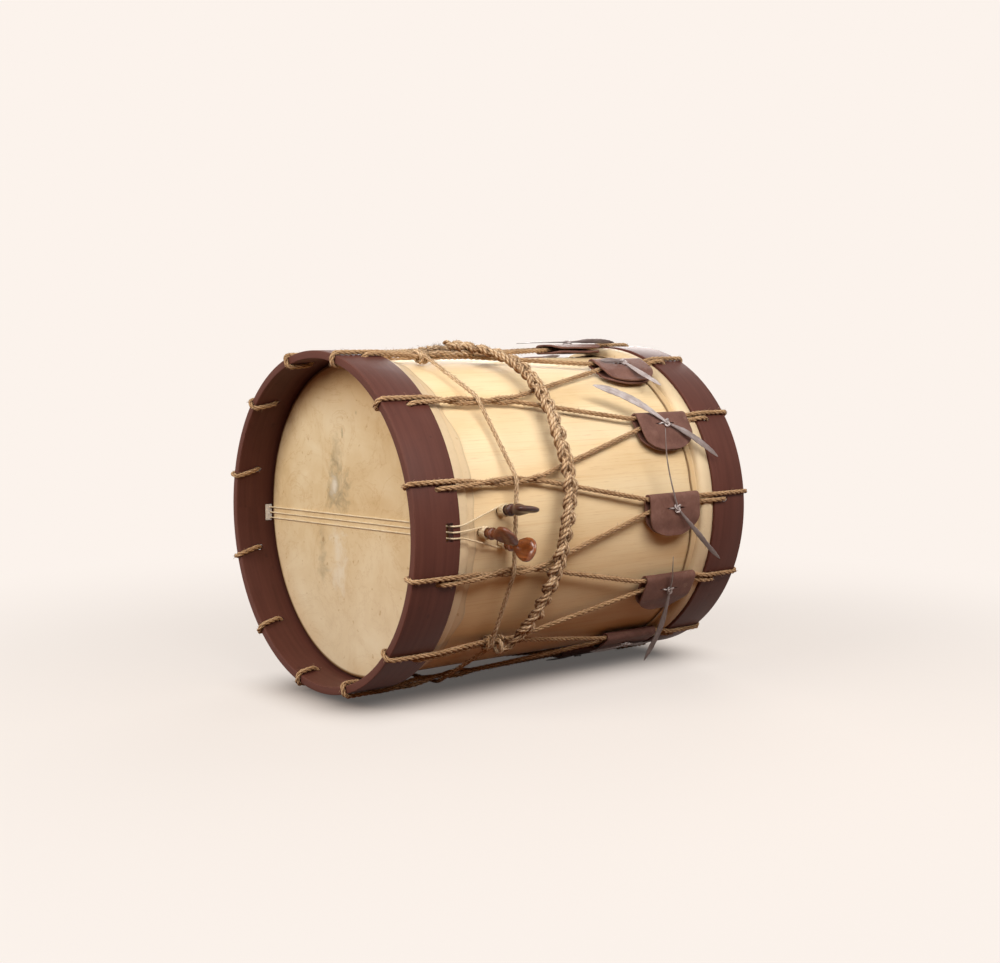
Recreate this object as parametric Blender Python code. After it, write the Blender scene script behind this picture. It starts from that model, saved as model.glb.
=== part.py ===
"""A tabor: a rope-tensioned drum with gut snares, leather tug ears and a plaited rope sling.

The drum lies on its side. Its axis runs along Y, the snare head faces -Y and Z points up. Sizes are in
metres, and angles round the drum count from +X (its right flank) towards +Z (its top).
"""

import bmesh
import bpy
from math import ceil, cos, pi, radians, sin, sqrt, tan
from mathutils import Vector

# Shell and hoops
SHELL_RADIUS = 0.1425
SHELL_WALL = 0.006
SHELL_EDGE_BEVEL = 0.0015
DRUM_LENGTH = 0.385
FRONT_HOOP_WIDTH = 0.046
REAR_HOOP_WIDTH = 0.040
HOOP_WALL = 0.007
HOOP_STANDOFF = 0.003
HOOP_ROUND = 0.0025
HOOP_OVERLAP = 0.008
ROUND_STEPS = 36

# Skins and the flesh hoops inside their laps
SKIN = 0.0009
SKIN_TAIL = 0.012
FLESH_WIDTH = 0.010
FRONT_BEARING = 0.0016
REAR_BEARING = 0.0025

# Rope: front and rear loops, counted round the drum
ROPE = 0.0050
LOOPS = 12
FRONT_TURN = radians(16.5)
REAR_TURN = radians(5)
HOLE_SETBACK = 0.024
ROPE_BEND = 0.0045
WAIST_BEHIND_HOOP = 0.061
WAIST_PLACE = FRONT_HOOP_WIDTH + WAIST_BEHIND_HOOP
WAIST_LIFT = 0.0052
WAIST_ROPE = 0.005
WAIST_LEVEL = 0.011
PAIR_BEHIND_WAIST = 0.033
WAIST_KNOT_ANGLE = FRONT_TURN - radians(60)
# How far the waist rope is shifted at each pair, upwards from its knot; minus is towards the front rim
WAIST_SHIFTS = (0.0, -0.0035, 0.001, -0.009, -0.021, -0.015, -0.007, -0.011, -0.004, -0.009, -0.003, -0.007)

# Plaited sling: (angle in degrees, distance behind the waist rope, gap over the strands)
BRAID = 0.012
BRAID_ROUTE = (
    (76.5, 0.010, 0.0012),
    (76.5, 0.022, 0.0013),
    (74, 0.039, 0.0006),
    (68, 0.053, 0.0002),
    (61, 0.060, 0.0002),
    (53, 0.0605, 0.0002),
    (44, 0.0595, 0.0002),
    (35, 0.0585, 0.0002),
    (26, 0.057, 0.0002),
    (17, 0.0565, 0.0002),
    (9, 0.054, 0.0002),
    (1, 0.0495, 0.0002),
    (-7, 0.045, 0.0002),
    (-15, 0.040, 0.0002),
    (-23, 0.0355, 0.0002),
    (-31, 0.030, 0.0002),
    (-37, 0.023, 0.0006),
    (-42, 0.0165, 0.0012),
    (-43.5, 0.010, 0.0012),
)
BRAID_STEP = 0.024

# Tug ears and their laces
EAR_PLACE = 0.093
EAR_LENGTH = 0.062
EAR_DROP = 0.0315
EAR_BACK_TRAVEL = 0.0085
EAR_FRONT_TRAVEL = 0.012
# How far each ear is drawn towards the rear rim from the ears' common place
EAR_SHIFTS = (-0.001, 0.0075, 0.0075, 0.006, 0.004, 0.0075, 0.007, 0.0, 0.005, 0.0075, 0.003, 0.0075)
LEATHER = 0.0017
CHANNEL_PLAY = 0.0005
FOLD_PLAY = 0.0008
EAR_CLEARANCE = 0.0036
FLAP_SLOPE = 1.4
FLAP_POINTS = 4
FLAP_BLUNTNESS = 1.05
FLAP_CROWDING = 1.5
FOLD_STEPS = 4
LACE = 0.0016
LACE_SPREAD = 0.008
LACE_PLAY = 0.0004
# Two tails for each ear: (direction in degrees, length); 0 points to the rear rim, 90 up round the drum
LACE_TAILS = (
    ((-48, 0.070), (94, 0.074)),
    ((-45, 0.056), (146, 0.076)),
    ((-85, 0.046), (165, 0.018)),
    ((-8, 0.048), (185, 0.062)),
    ((-30, 0.040), (150, 0.044)),
    ((-52, 0.036), (205, 0.048)),
    ((-25, 0.044), (160, 0.036)),
    ((-40, 0.042), (145, 0.040)),
    ((-12, 0.034), (168, 0.034)),
    ((-8, 0.036), (172, 0.036)),
    ((-15, 0.030), (190, 0.034)),
    ((-92, 0.085), (98, 0.039)),
)

# Snares and their pegs
GUT = 0.0012
SLOT_WIDTH = 0.0076
SLOT_HEIGHT = 0.016
SLOT_MARGIN = 0.0006
LEFT_SLOT_HEIGHT = -0.0065
RIGHT_SLOT_HEIGHT = 0.0045
GUT_SPACING = 0.0047
TOGGLE = 0.005
TOGGLE_LENGTH = 0.026
TOGGLE_END = 0.48
TOGGLE_STRAIGHT = 0.8
# Each peg: (angle, distance in front of the waist rope)
PEG_PLACES = ((radians(7.1), 0.011), (radians(0.4), 0.032), (radians(-3.8), 0.011))
PEG_HEAD_TURNS = (radians(80), radians(52), radians(-18))
# The side of each peg that its gut passes: 1 above, -1 below
GUT_SIDES = (1, 1, -1)
PEG_SHANK = 0.0080
PEG_INSIDE = 0.012
PEG_NECK_HEIGHT = 0.021
PEG_HEAD_WIDTH = 0.021
PEG_HEAD_LENGTH = 0.026
PEG_HEAD_FLATNESS = 0.40
PEG_STEPS = 10
# Outlines as (share of the radius, share of the height): the shank's end, the neck and the head
PEG_END = ((0.80, 0.0), (0.85, 0.1))
PEG_NECK = ((1.0, 0.62), (1.3, 0.70), (1.3, 0.80), (0.9, 0.90), (1.0, 1.0))
PEG_HEAD = ((0.66, 0.18), (0.94, 0.40), (1.0, 0.60), (0.84, 0.80), (0.48, 0.93))
PEG_FLAT_FROM = 0.4
PEG_PLAY = 0.0002
WINDING_TURNS = 3
WINDING_HEIGHT = 0.004
WINDING_GAP = 0.0005
LOOP_POINTS = 14

# Clearances between pieces that touch
GAP = 0.0003
ROPE_SEAT = 0.0004
HOLE_PLAY = 0.0003
PAIR_GAP = 0.0006

# Finer points of the meshes
SAME_POINT = 1e-6
SHARP_EDGE = radians(40)
SOFT_TURN = radians(25)
BEND_STEP = radians(46)
LONGEST_BEND = 0.45

# Places that follow from the sizes above
LOOP_STEP = 2 * pi / LOOPS
FACET_RATIO = cos(pi / ROUND_STEPS)
HOOP_INNER = SHELL_RADIUS + HOOP_STANDOFF
HOOP_OUTER = HOOP_INNER + HOOP_WALL
FRONT_FLESH_HEIGHT = HOOP_STANDOFF + FRONT_BEARING - SKIN - 2 * GAP
REAR_FLESH_HEIGHT = HOOP_STANDOFF + REAR_BEARING - SKIN - 2 * GAP
PAIR_HALF = (ROPE + PAIR_GAP) / 2
ROPE_OUTSIDE = HOOP_OUTER + ROPE_SEAT + ROPE / 2
ROPE_INSIDE = HOOP_INNER * FACET_RATIO - ROPE_SEAT - ROPE / 2
HOLE_RADIUS = (HOOP_INNER + HOOP_OUTER) / 2
RIM_REACH = ROPE_SEAT + ROPE / 2
EAR_ROPE_RADIUS = SHELL_RADIUS + EAR_CLEARANCE + LEATHER + CHANNEL_PLAY + ROPE / 2
WAIST_RADIUS = SHELL_RADIUS + WAIST_LIFT + ROPE / 2
EAR_MIDDLE = DRUM_LENGTH - EAR_PLACE
SKIN_FACE = FRONT_HOOP_WIDTH - HOOP_OVERLAP
SLOT_MIDDLE = SKIN_FACE + SLOT_MARGIN - SLOT_WIDTH / 2
GUT_LEVEL = SKIN_FACE - GAP - GUT / 2

FINISHES = {
    "shell_wood": ((0.78, 0.58, 0.34), 0.55),
    "hoop_wood": ((0.085, 0.022, 0.016), 0.45),
    "flesh_hoop_wood": ((0.55, 0.36, 0.18), 0.6),
    "skin": ((0.74, 0.62, 0.42), 0.5),
    "rope": ((0.36, 0.21, 0.09), 0.85),
    "ear_leather": ((0.10, 0.040, 0.028), 0.55),
    "lace_leather": ((0.16, 0.13, 0.12), 0.6),
    "gut": ((0.80, 0.70, 0.50), 0.4),
    "peg_wood": ((0.22, 0.055, 0.015), 0.25),
    "toggle_bone": ((0.80, 0.75, 0.64), 0.4),
}


def around(radius, angle, y):
    """The point at a radius and an angle round the drum's axis, y behind the front rim."""
    return Vector((radius * cos(angle), y, radius * sin(angle)))


def finish(name):
    """The finish of that name, made once."""
    material = bpy.data.materials.get(name)
    if material is None:
        colour, roughness = FINISHES[name]
        material = bpy.data.materials.new(name)
        material.use_nodes = True
        surface = material.node_tree.nodes["Principled BSDF"]
        surface.inputs["Base Color"].default_value = (*colour, 1.0)
        surface.inputs["Roughness"].default_value = roughness
        surface.inputs["Metallic"].default_value = 0.0
    return material


def add_piece(name, shape, material, root):
    """Put a mesh or a curve in the scene as one named piece of the drum."""
    if not shape.materials:
        shape.materials.append(finish(material))
    piece = bpy.data.objects.new(name, shape)
    piece.parent = root
    bpy.context.scene.collection.objects.link(piece)
    return piece


def add_cutter(name, shape, root):
    """Put a mesh in the scene that only cuts others."""
    cutter = bpy.data.objects.new(name, shape)
    cutter.parent = root
    cutter.hide_render = True
    cutter.display_type = "WIRE"
    bpy.context.scene.collection.objects.link(cutter)
    return cutter


def cut(piece, cutter):
    """Cut one shape out of a piece."""
    boolean = piece.modifiers.new(cutter.name, "BOOLEAN")
    boolean.operation = "DIFFERENCE"
    boolean.solver = "EXACT"
    boolean.object = cutter


def finished_mesh(piece):
    """The mesh of a piece with its modifiers or its tube worked out."""
    bpy.context.view_layer.update()
    depsgraph = bpy.context.evaluated_depsgraph_get()
    return bpy.data.meshes.new_from_object(piece.evaluated_get(depsgraph))


def mesh_from(name, shape):
    """A named mesh from a shape that is then done with."""
    mesh = bpy.data.meshes.new(name)
    shape.to_mesh(mesh)
    shape.free()
    return mesh


def turned_mesh(name, outline, steps, closed=True, upright=False):
    """Turn an outline of (radius, height) points about the drum's axis, or about Z if it is upright.

    An open outline starts and ends on the axis.
    """
    shape = bmesh.new()
    start = pi / steps
    points = []
    for radius, height in outline:
        along = radius * cos(start)
        aside = radius * sin(start)
        points.append(shape.verts.new((along, aside, height) if upright else (along, height, aside)))
    first = 0 if closed else 1
    lines = [shape.edges.new((points[i - 1], points[i])) for i in range(first, len(points))]
    bmesh.ops.spin(shape, geom=points + lines, cent=(0, 0, 0), axis=(0, 0, 1) if upright else (0, 1, 0),
                   angle=2 * pi, steps=steps, use_merge=True)
    bmesh.ops.remove_doubles(shape, verts=shape.verts, dist=SAME_POINT)
    bmesh.ops.recalc_face_normals(shape, faces=shape.faces)
    mesh = mesh_from(name, shape)
    mesh.shade_smooth()
    mesh.set_sharp_from_angle(angle=SHARP_EDGE)
    return mesh


def tube_curve(name, points, diameter, resolution):
    """A round tube with closed ends along a chain of points."""
    curve = bpy.data.curves.new(name, "CURVE")
    curve.dimensions = "3D"
    curve.bevel_depth = diameter / 2
    curve.bevel_resolution = resolution
    curve.use_fill_caps = True
    spline = curve.splines.new("POLY")
    spline.points.add(len(points) - 1)
    for knot, point in zip(spline.points, points):
        knot.co = (*point, 1.0)
    return curve


def rounded_route(corners, bend):
    """Replace each sharp corner of a route by a short curve of about that bend radius."""
    route = [corners[0]]
    for before, corner, after in zip(corners, corners[1:], corners[2:]):
        to_before = before - corner
        to_after = after - corner
        turn = pi - to_before.angle(to_after)
        if turn < SOFT_TURN:
            route.append(corner)
            continue
        reach = min(bend * tan(turn / 2), LONGEST_BEND * to_before.length, LONGEST_BEND * to_after.length)
        enter = corner + to_before.normalized() * reach
        leave = corner + to_after.normalized() * reach
        steps = ceil(turn / BEND_STEP)
        for step in range(steps + 1):
            part = step / steps
            route.append(enter * (1 - part) ** 2 + corner * 2 * part * (1 - part) + leave * part ** 2)
    route.append(corners[-1])
    return route


def smooth_through(points, spacing):
    """Points along a smooth curve that passes through the given ones."""
    padded = [2 * points[0] - points[1], *points, 2 * points[-1] - points[-2]]
    curve = []
    for before, start, end, after in zip(padded, padded[1:], padded[2:], padded[3:]):
        count = max(1, ceil((end - start).length / spacing))
        for step in range(count):
            u = step / count
            curve.append(0.5 * (2 * start + (end - before) * u
                                + (2 * before - 5 * start + 4 * end - after) * u * u
                                + (3 * start - before - 3 * end + after) * u ** 3))
    curve.append(points[-1])
    return curve


def least_gap(points, diameter, apart):
    """The narrowest gap that a wound tube leaves to itself, between points more than apart along it."""
    narrowest = None
    for first in range(len(points)):
        for second in range(first + apart, len(points)):
            gap = (points[first] - points[second]).length - diameter
            if narrowest is None or gap < narrowest:
                narrowest = gap
    return narrowest


def rounded_corner(radius, height, towards_radius, towards_height, size, steps=2):
    """Points of an outline's rounded corner, from the radius side to the height side."""
    centre_radius = radius + towards_radius * size
    centre_height = height + towards_height * size
    points = []
    for step in range(steps + 1):
        turn = step / steps * pi / 2
        points.append((centre_radius - towards_radius * size * cos(turn),
                       centre_height - towards_height * size * sin(turn)))
    return points


def hoop_outline(rim, inner_end, into):
    """A counter hoop's section: a rounded rim and outer edge, and a square inner edge that bears on the skin.

    into is +1 where the drum lies behind the rim and -1 where it lies before it.
    """
    outline = rounded_corner(HOOP_INNER, rim, 1, into, HOOP_ROUND)
    outline += reversed(rounded_corner(HOOP_OUTER, rim, -1, into, HOOP_ROUND))
    outline += rounded_corner(HOOP_OUTER, inner_end, -1, -into, HOOP_ROUND)
    outline.append((HOOP_INNER, inner_end))
    return outline


def hole_corners(rim, into, offset, angle):
    """The rope's way through a hoop's wall: inside corner and outside corner, slanted at 45 degrees."""
    middle = rim + into * HOLE_SETBACK
    inside = middle - into * (HOLE_RADIUS - ROPE_INSIDE)
    outside = middle + into * (ROPE_OUTSIDE - HOLE_RADIUS)
    return (around(ROPE_INSIDE, angle + offset / ROPE_INSIDE, inside),
            around(ROPE_OUTSIDE, angle + offset / ROPE_OUTSIDE, outside))


def rope_holes(name, rim, into, first_angle, root):
    """A cutter for one hoop's rope holes: fat tubes along the rope's way through the wall."""
    inside, outside = hole_corners(rim, into, -PAIR_HALF, 0.0)
    run = Vector((0, into * HOLE_SETBACK / 3, 0))
    route = rounded_route([inside - run, inside, outside, outside + run], ROPE_BEND)
    tube = tube_curve(name, route[1:-1], ROPE + 2 * HOLE_PLAY, 3)
    pattern = bpy.data.objects.new(name, tube)
    bpy.context.scene.collection.objects.link(pattern)
    one_hole = finished_mesh(pattern)
    bpy.data.objects.remove(pattern)
    shape = bmesh.new()
    for loop in range(LOOPS):
        before = len(shape.verts)
        shape.from_mesh(one_hole)
        shape.verts.ensure_lookup_table()
        angle = first_angle + loop * LOOP_STEP
        for vert in shape.verts[before:]:
            x, y, z = vert.co
            vert.co = (x * cos(angle) - z * sin(angle), y, x * sin(angle) + z * cos(angle))
    bmesh.ops.remove_doubles(shape, verts=shape.verts, dist=SAME_POINT)
    bmesh.ops.recalc_face_normals(shape, faces=shape.faces)
    return add_cutter(name, mesh_from(name, shape), root)


def block_mesh(name, size, centre):
    shape = bmesh.new()
    bmesh.ops.create_cube(shape, size=1.0)
    for vert in shape.verts:
        vert.co = vert.co * Vector(size) + centre
    return mesh_from(name, shape)


def add_hoops(root):
    """The two counter hoops with their rope holes, and the snare slots of the front one."""
    front = turned_mesh("front_hoop", hoop_outline(0.0, FRONT_HOOP_WIDTH, 1), ROUND_STEPS)
    front_hoop = add_piece("front_hoop", front, "hoop_wood", root)
    cut(front_hoop, rope_holes("front_rope_holes", 0.0, 1, FRONT_TURN, root))
    for side, height in ((-1, LEFT_SLOT_HEIGHT), (1, RIGHT_SLOT_HEIGHT)):
        name = "left_snare_slot" if side < 0 else "right_snare_slot"
        size = (4 * HOOP_WALL, SLOT_WIDTH, SLOT_HEIGHT)
        centre = Vector((side * HOLE_RADIUS, SLOT_MIDDLE, height))
        cut(front_hoop, add_cutter(name, block_mesh(name, size, centre), root))
    rear_inner_end = DRUM_LENGTH - REAR_HOOP_WIDTH
    rear = turned_mesh("rear_hoop", hoop_outline(DRUM_LENGTH, rear_inner_end, -1), ROUND_STEPS)
    rear_hoop = add_piece("rear_hoop", rear, "hoop_wood", root)
    cut(rear_hoop, rope_holes("rear_rope_holes", DRUM_LENGTH, -1, REAR_TURN, root))


def head_outline(face, hoop_end, into, flesh_height):
    """A skin's section: flat face, over the shell's edge, over the flesh hoop, and its tail on the shell."""
    on_shell = SHELL_RADIUS + GAP
    ridge = on_shell + flesh_height + GAP
    ridge_start = hoop_end + into * GAP
    ridge_end = ridge_start + into * (FLESH_WIDTH + 2 * (SKIN + GAP))
    tail_end = ridge_end + into * SKIN_TAIL
    edge_outside = SHELL_EDGE_BEVEL + SKIN / 2
    outside = [
        (0.0, face),
        (on_shell + SKIN - edge_outside, face),
        (on_shell + SKIN, face + into * edge_outside),
        (on_shell + SKIN, ridge_start),
        (ridge + SKIN, ridge_start),
        (ridge + SKIN, ridge_end),
        (on_shell + SKIN, ridge_end),
        (on_shell + SKIN, tail_end),
    ]
    inside = [
        (on_shell, tail_end),
        (on_shell, ridge_end - into * SKIN),
        (ridge, ridge_end - into * SKIN),
        (ridge, ridge_start + into * SKIN),
        (on_shell, ridge_start + into * SKIN),
        (on_shell, face + into * (SKIN + SHELL_EDGE_BEVEL)),
        (on_shell - SHELL_EDGE_BEVEL, face + into * SKIN),
        (0.0, face + into * SKIN),
    ]
    return outside + inside


def flesh_outline(hoop_end, into, flesh_height):
    """A flesh hoop's section, inside the skin's ridge and on the shell."""
    inner = SHELL_RADIUS + GAP
    outer = inner + flesh_height
    start = hoop_end + into * (2 * GAP + SKIN)
    end = start + into * FLESH_WIDTH
    return [(inner, start), (outer, start), (outer, end), (inner, end)]


def add_shell_and_heads(root):
    """The plywood shell, the two skins lapped over its ends and the flesh hoops inside the laps."""
    rear_face = DRUM_LENGTH - REAR_HOOP_WIDTH + HOOP_OVERLAP
    rear_hoop_end = DRUM_LENGTH - REAR_HOOP_WIDTH
    front_edge = SKIN_FACE + SKIN + GAP
    rear_edge = rear_face - SKIN - GAP
    shell_inner = SHELL_RADIUS - SHELL_WALL
    outline = [(shell_inner, front_edge)]
    outline += reversed(rounded_corner(SHELL_RADIUS, front_edge, -1, 1, SHELL_EDGE_BEVEL, 1))
    outline += rounded_corner(SHELL_RADIUS, rear_edge, -1, -1, SHELL_EDGE_BEVEL, 1)
    outline.append((shell_inner, rear_edge))
    shell = add_piece("shell", turned_mesh("shell", outline, ROUND_STEPS), "shell_wood", root)
    for name, face, hoop_end, into, height in (("front", SKIN_FACE, FRONT_HOOP_WIDTH, 1, FRONT_FLESH_HEIGHT),
                                               ("rear", rear_face, rear_hoop_end, -1, REAR_FLESH_HEIGHT)):
        section = head_outline(face, hoop_end, into, height)
        skin = turned_mesh(name + "_head", section, ROUND_STEPS, closed=False)
        add_piece(name + "_head", skin, "skin", root)
        ring = turned_mesh(name + "_flesh_hoop", flesh_outline(hoop_end, into, height), ROUND_STEPS)
        add_piece(name + "_flesh_hoop", ring, "flesh_hoop_wood", root)
    return shell


def front_strand(side):
    """A strand of a front pair, from behind the waist rope to the front hoop's edge."""
    offset = side * PAIR_HALF
    edge = FRONT_HOOP_WIDTH - HOOP_ROUND / 2
    return [around(WAIST_RADIUS, offset / WAIST_RADIUS, WAIST_PLACE + PAIR_BEHIND_WAIST),
            around(WAIST_RADIUS, offset / WAIST_RADIUS, WAIST_PLACE - WAIST_LEVEL),
            around(ROPE_OUTSIDE, offset / ROPE_OUTSIDE, edge)]


def rear_strand(angle, side):
    """A strand from the rear hoop's edge forward through its ear, as far as it stays straight."""
    hoop_edge = DRUM_LENGTH - REAR_HOOP_WIDTH + HOOP_ROUND / 2
    ear_back = EAR_MIDDLE + EAR_LENGTH / 2 + EAR_BACK_TRAVEL + CHANNEL_PLAY
    ear_front = EAR_MIDDLE - EAR_LENGTH / 2 - EAR_FRONT_TRAVEL
    offset = side * PAIR_HALF
    return [around(ROPE_OUTSIDE, angle + offset / ROPE_OUTSIDE, hoop_edge),
            around(EAR_ROPE_RADIUS, angle + offset / EAR_ROPE_RADIUS, ear_back),
            around(EAR_ROPE_RADIUS, angle + offset / EAR_ROPE_RADIUS, ear_front)]


def rim_corners(rim, into, angle):
    """The rope's way over a rim, outside corner and inside corner."""
    y = rim - into * RIM_REACH
    return [around(radius, angle + PAIR_HALF / radius, y) for radius in (ROPE_OUTSIDE, ROPE_INSIDE)]


def rope_route():
    """One length of the tension rope, with its front loop at angle 0.

    It leaves a rear rope hole, runs through one ear, joins the front pair, goes over the front rim and back
    out through the front hole, and runs through the next ear and over the rear rim to the next rear hole.
    """
    upper = REAR_TURN - FRONT_TURN + LOOP_STEP
    lower = upper - LOOP_STEP
    start_inside, start_outside = hole_corners(DRUM_LENGTH, -1, -PAIR_HALF, upper)
    end_inside, end_outside = hole_corners(DRUM_LENGTH, -1, -PAIR_HALF, lower)
    start_seam = (start_outside - start_inside).normalized() * GAP / 2
    end_seam = (end_inside - end_outside).normalized() * GAP / 2
    corners = [(start_inside + start_outside) / 2 + start_seam, start_outside]
    corners += rear_strand(upper, -1)
    corners += front_strand(1)
    corners += rim_corners(0.0, 1, 0.0)
    corners += hole_corners(0.0, 1, -PAIR_HALF, 0.0)
    corners += front_strand(-1)[::-1]
    corners += rear_strand(lower, 1)[::-1]
    corners += rim_corners(DRUM_LENGTH, -1, lower)
    corners += [end_inside, (end_inside + end_outside) / 2 + end_seam]
    return rounded_route(corners, ROPE_BEND)


def add_tension_rope(root):
    """The zigzag rope, in one length for each front loop; the lengths meet inside the rear rope holes."""
    rope = tube_curve("tension_rope", rope_route(), ROPE, 1)
    for loop in range(LOOPS):
        length = add_piece(f"tension_rope_{loop + 1:02d}", rope, "rope", root)
        length.rotation_euler = (0, -(FRONT_TURN + loop * LOOP_STEP), 0)


def pair_radius(y):
    """The radius of a front pair's middle line at a place between the front hoop and the ears."""
    level_start = WAIST_PLACE - WAIST_LEVEL
    slope_start = FRONT_HOOP_WIDTH - HOOP_ROUND / 2
    part = max(0.0, (level_start - y) / (level_start - slope_start))
    return WAIST_RADIUS + part * (ROPE_OUTSIDE - WAIST_RADIUS)


def add_waist_rope(root):
    """The rope round the drum that lies over the twisted pairs; its ends meet at the knot."""
    lift = (ROPE + WAIST_ROPE) / 2 + GAP
    corners = []
    for loop in range(LOOPS):
        y = WAIST_PLACE + WAIST_SHIFTS[loop % len(WAIST_SHIFTS)]
        radius = pair_radius(y) + lift
        middle = WAIST_KNOT_ANGLE + loop * LOOP_STEP
        for side in (-1, 1):
            corners.append(around(radius, middle + side * PAIR_HALF / radius, y))
    half_seam = (corners[1] - corners[0]).normalized() * GAP
    knot = (corners[0] + corners[1]) / 2
    route = rounded_route([knot + half_seam, *corners[1:], corners[0], knot - half_seam], ROPE_BEND)
    add_piece("waist_rope", tube_curve("waist_rope", route, WAIST_ROPE, 1), "rope", root)


def add_carry_braid(root):
    """The plaited sling, loose over the ropes, from one tie at the waist rope to the other."""
    points = []
    for angle, behind, gap in BRAID_ROUTE:
        radius = WAIST_RADIUS + ROPE / 2 + gap + BRAID / 2
        points.append(around(radius, radians(angle), WAIST_PLACE + behind))
    route = smooth_through(points, BRAID_STEP)
    return add_piece("carry_braid", tube_curve("carry_braid", route, BRAID, 2), "rope", root)


def ear_section():
    """The leather's middle line across an ear, flap to flap: (round the drum, out from the rope)."""
    channel = ROPE / 2 + CHANNEL_PLAY + LEATHER / 2
    closed = (GAP + LEATHER) / 2
    fold_centre = PAIR_HALF + ROPE / 2 + FOLD_PLAY + LEATHER / 2 - channel
    mouth = -(PAIR_HALF + ROPE / 2 + LACE + 2 * LACE_PLAY)
    shut = mouth - FLAP_SLOPE * (channel - closed)
    half = []
    for step in range(FLAP_POINTS):
        part = (1 - step / FLAP_POINTS) ** FLAP_CROWDING
        half.append((shut - part * (EAR_DROP + shut), closed))
    half.append((shut, closed))
    half.append(((mouth + shut) / 2, (channel + closed) / 2))
    half.append((mouth, channel))
    fold = []
    for step in range(FOLD_STEPS + 1):
        turn = pi / 2 - step * pi / FOLD_STEPS
        fold.append((fold_centre + channel * cos(turn), channel * sin(turn)))
    other_half = [(across, -out) for across, out in reversed(half)]
    return half + fold + other_half, shut


def ear_mesh():
    """A folded ear at angle 0: a strip of leather round two strands, with D-shaped flaps that hang down."""
    line, shut = ear_section()
    flap = EAR_DROP + shut
    full_flap = flap * FLAP_BLUNTNESS
    shape = bmesh.new()
    rows = []
    for index, (across, out) in enumerate(line):
        before = line[max(index - 1, 0)]
        after = line[min(index + 1, len(line) - 1)]
        along = Vector((after[0] - before[0], after[1] - before[1])).normalized()
        outward = Vector((-along.y, along.x)) * LEATHER / 2
        drop = max(0.0, shut - across) / full_flap
        half_length = EAR_LENGTH / 2 * sqrt(1 - min(drop, 1.0) ** 2)
        row = []
        for side in (1, -1):
            place = Vector((across, out)) + side * outward
            angle = place.x / EAR_ROPE_RADIUS
            for end in (-1, 1):
                y = EAR_MIDDLE + end * half_length
                row.append(shape.verts.new(around(EAR_ROPE_RADIUS + place.y, angle, y)))
        rows.append(row)
    for first, second in zip(rows, rows[1:]):
        for a, b in ((0, 1), (1, 3), (3, 2), (2, 0)):
            shape.faces.new((first[a], first[b], second[b], second[a]))
    for row in (rows[0], rows[-1]):
        shape.faces.new((row[0], row[1], row[3], row[2]))
    bmesh.ops.recalc_face_normals(shape, faces=shape.faces)
    return mesh_from("tug_ear", shape)


def lace_place():
    """The angle from the ear's middle where the lace goes through the flaps, just under the lower strand."""
    return -(PAIR_HALF + ROPE / 2 + LACE_PLAY + LACE / 2) / EAR_ROPE_RADIUS


def lace_route(tails):
    """A lace at angle 0: tail, in through both flaps, along under them, out again, and the other tail."""
    angle = lace_place()
    top = EAR_ROPE_RADIUS + ROPE / 2 + CHANNEL_PLAY + LEATHER + GAP + LACE / 2
    under = EAR_ROPE_RADIUS - ROPE / 2 - CHANNEL_PLAY - LEATHER - GAP - LACE / 2
    upwards = Vector((-sin(angle), 0, cos(angle)))
    ends = []
    for end, (direction, length) in zip((1, -1), tails):
        hole = EAR_MIDDLE + end * LACE_SPREAD
        heading = Vector((0, cos(radians(direction)), 0)) + upwards * sin(radians(direction))
        surface = around(top, angle, hole)
        ends.append([surface + heading * length, surface, around(under, angle, hole)])
    return rounded_route(ends[0] + ends[1][::-1], LACE)


def add_ears_and_laces(root):
    """Each rear loop's folded leather ear with its lace."""
    pattern = add_piece("ear_pattern", ear_mesh(), "ear_leather", root)
    through = 4 * (ROPE / 2 + CHANNEL_PLAY + LEATHER)
    size = (through, LACE + 2 * LACE_PLAY, LACE + 2 * LACE_PLAY)
    holes = []
    for end in (1, -1):
        hole = block_mesh("lace_hole", size, Vector((0, 0, 0)))
        cutter = add_cutter("lace_hole", hole, root)
        cutter.location = around(EAR_ROPE_RADIUS, lace_place(), EAR_MIDDLE + end * LACE_SPREAD)
        cutter.rotation_euler = (0, -lace_place(), 0)
        cut(pattern, cutter)
        holes.append(cutter)
    ear = finished_mesh(pattern)
    for spare in (pattern, *holes):
        bpy.data.objects.remove(spare)
    for number in range(LOOPS):
        tails = LACE_TAILS[number % len(LACE_TAILS)]
        turn = (0, -(REAR_TURN + number * LOOP_STEP), 0)
        piece = add_piece(f"tug_ear_{number + 1:02d}", ear, "ear_leather", root)
        piece.rotation_euler = turn
        piece.location.y = EAR_SHIFTS[number % len(EAR_SHIFTS)]
        name = f"ear_lace_{number + 1:02d}"
        lace = add_piece(name, tube_curve(name, lace_route(tails), LACE, 1), "lace_leather", root)
        lace.rotation_euler = turn
        lace.location = piece.location


def peg_outline():
    """A turned peg's outline, (radius, height above the shell): tapered shank, beads, neck and round head."""
    shank = PEG_SHANK / 2
    head = PEG_HEAD_WIDTH / 2
    end = -(SHELL_WALL + PEG_INSIDE)
    top = PEG_NECK_HEIGHT + PEG_HEAD_LENGTH
    outline = [(0.0, end)]
    outline += [(share * shank, end + height * PEG_INSIDE) for share, height in PEG_END]
    outline.append((shank, 0.0))
    outline += [(share * shank, height * PEG_NECK_HEIGHT) for share, height in PEG_NECK]
    outline += [(share * head, PEG_NECK_HEIGHT + height * PEG_HEAD_LENGTH) for share, height in PEG_HEAD]
    outline.append((0.0, top))
    return outline


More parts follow.
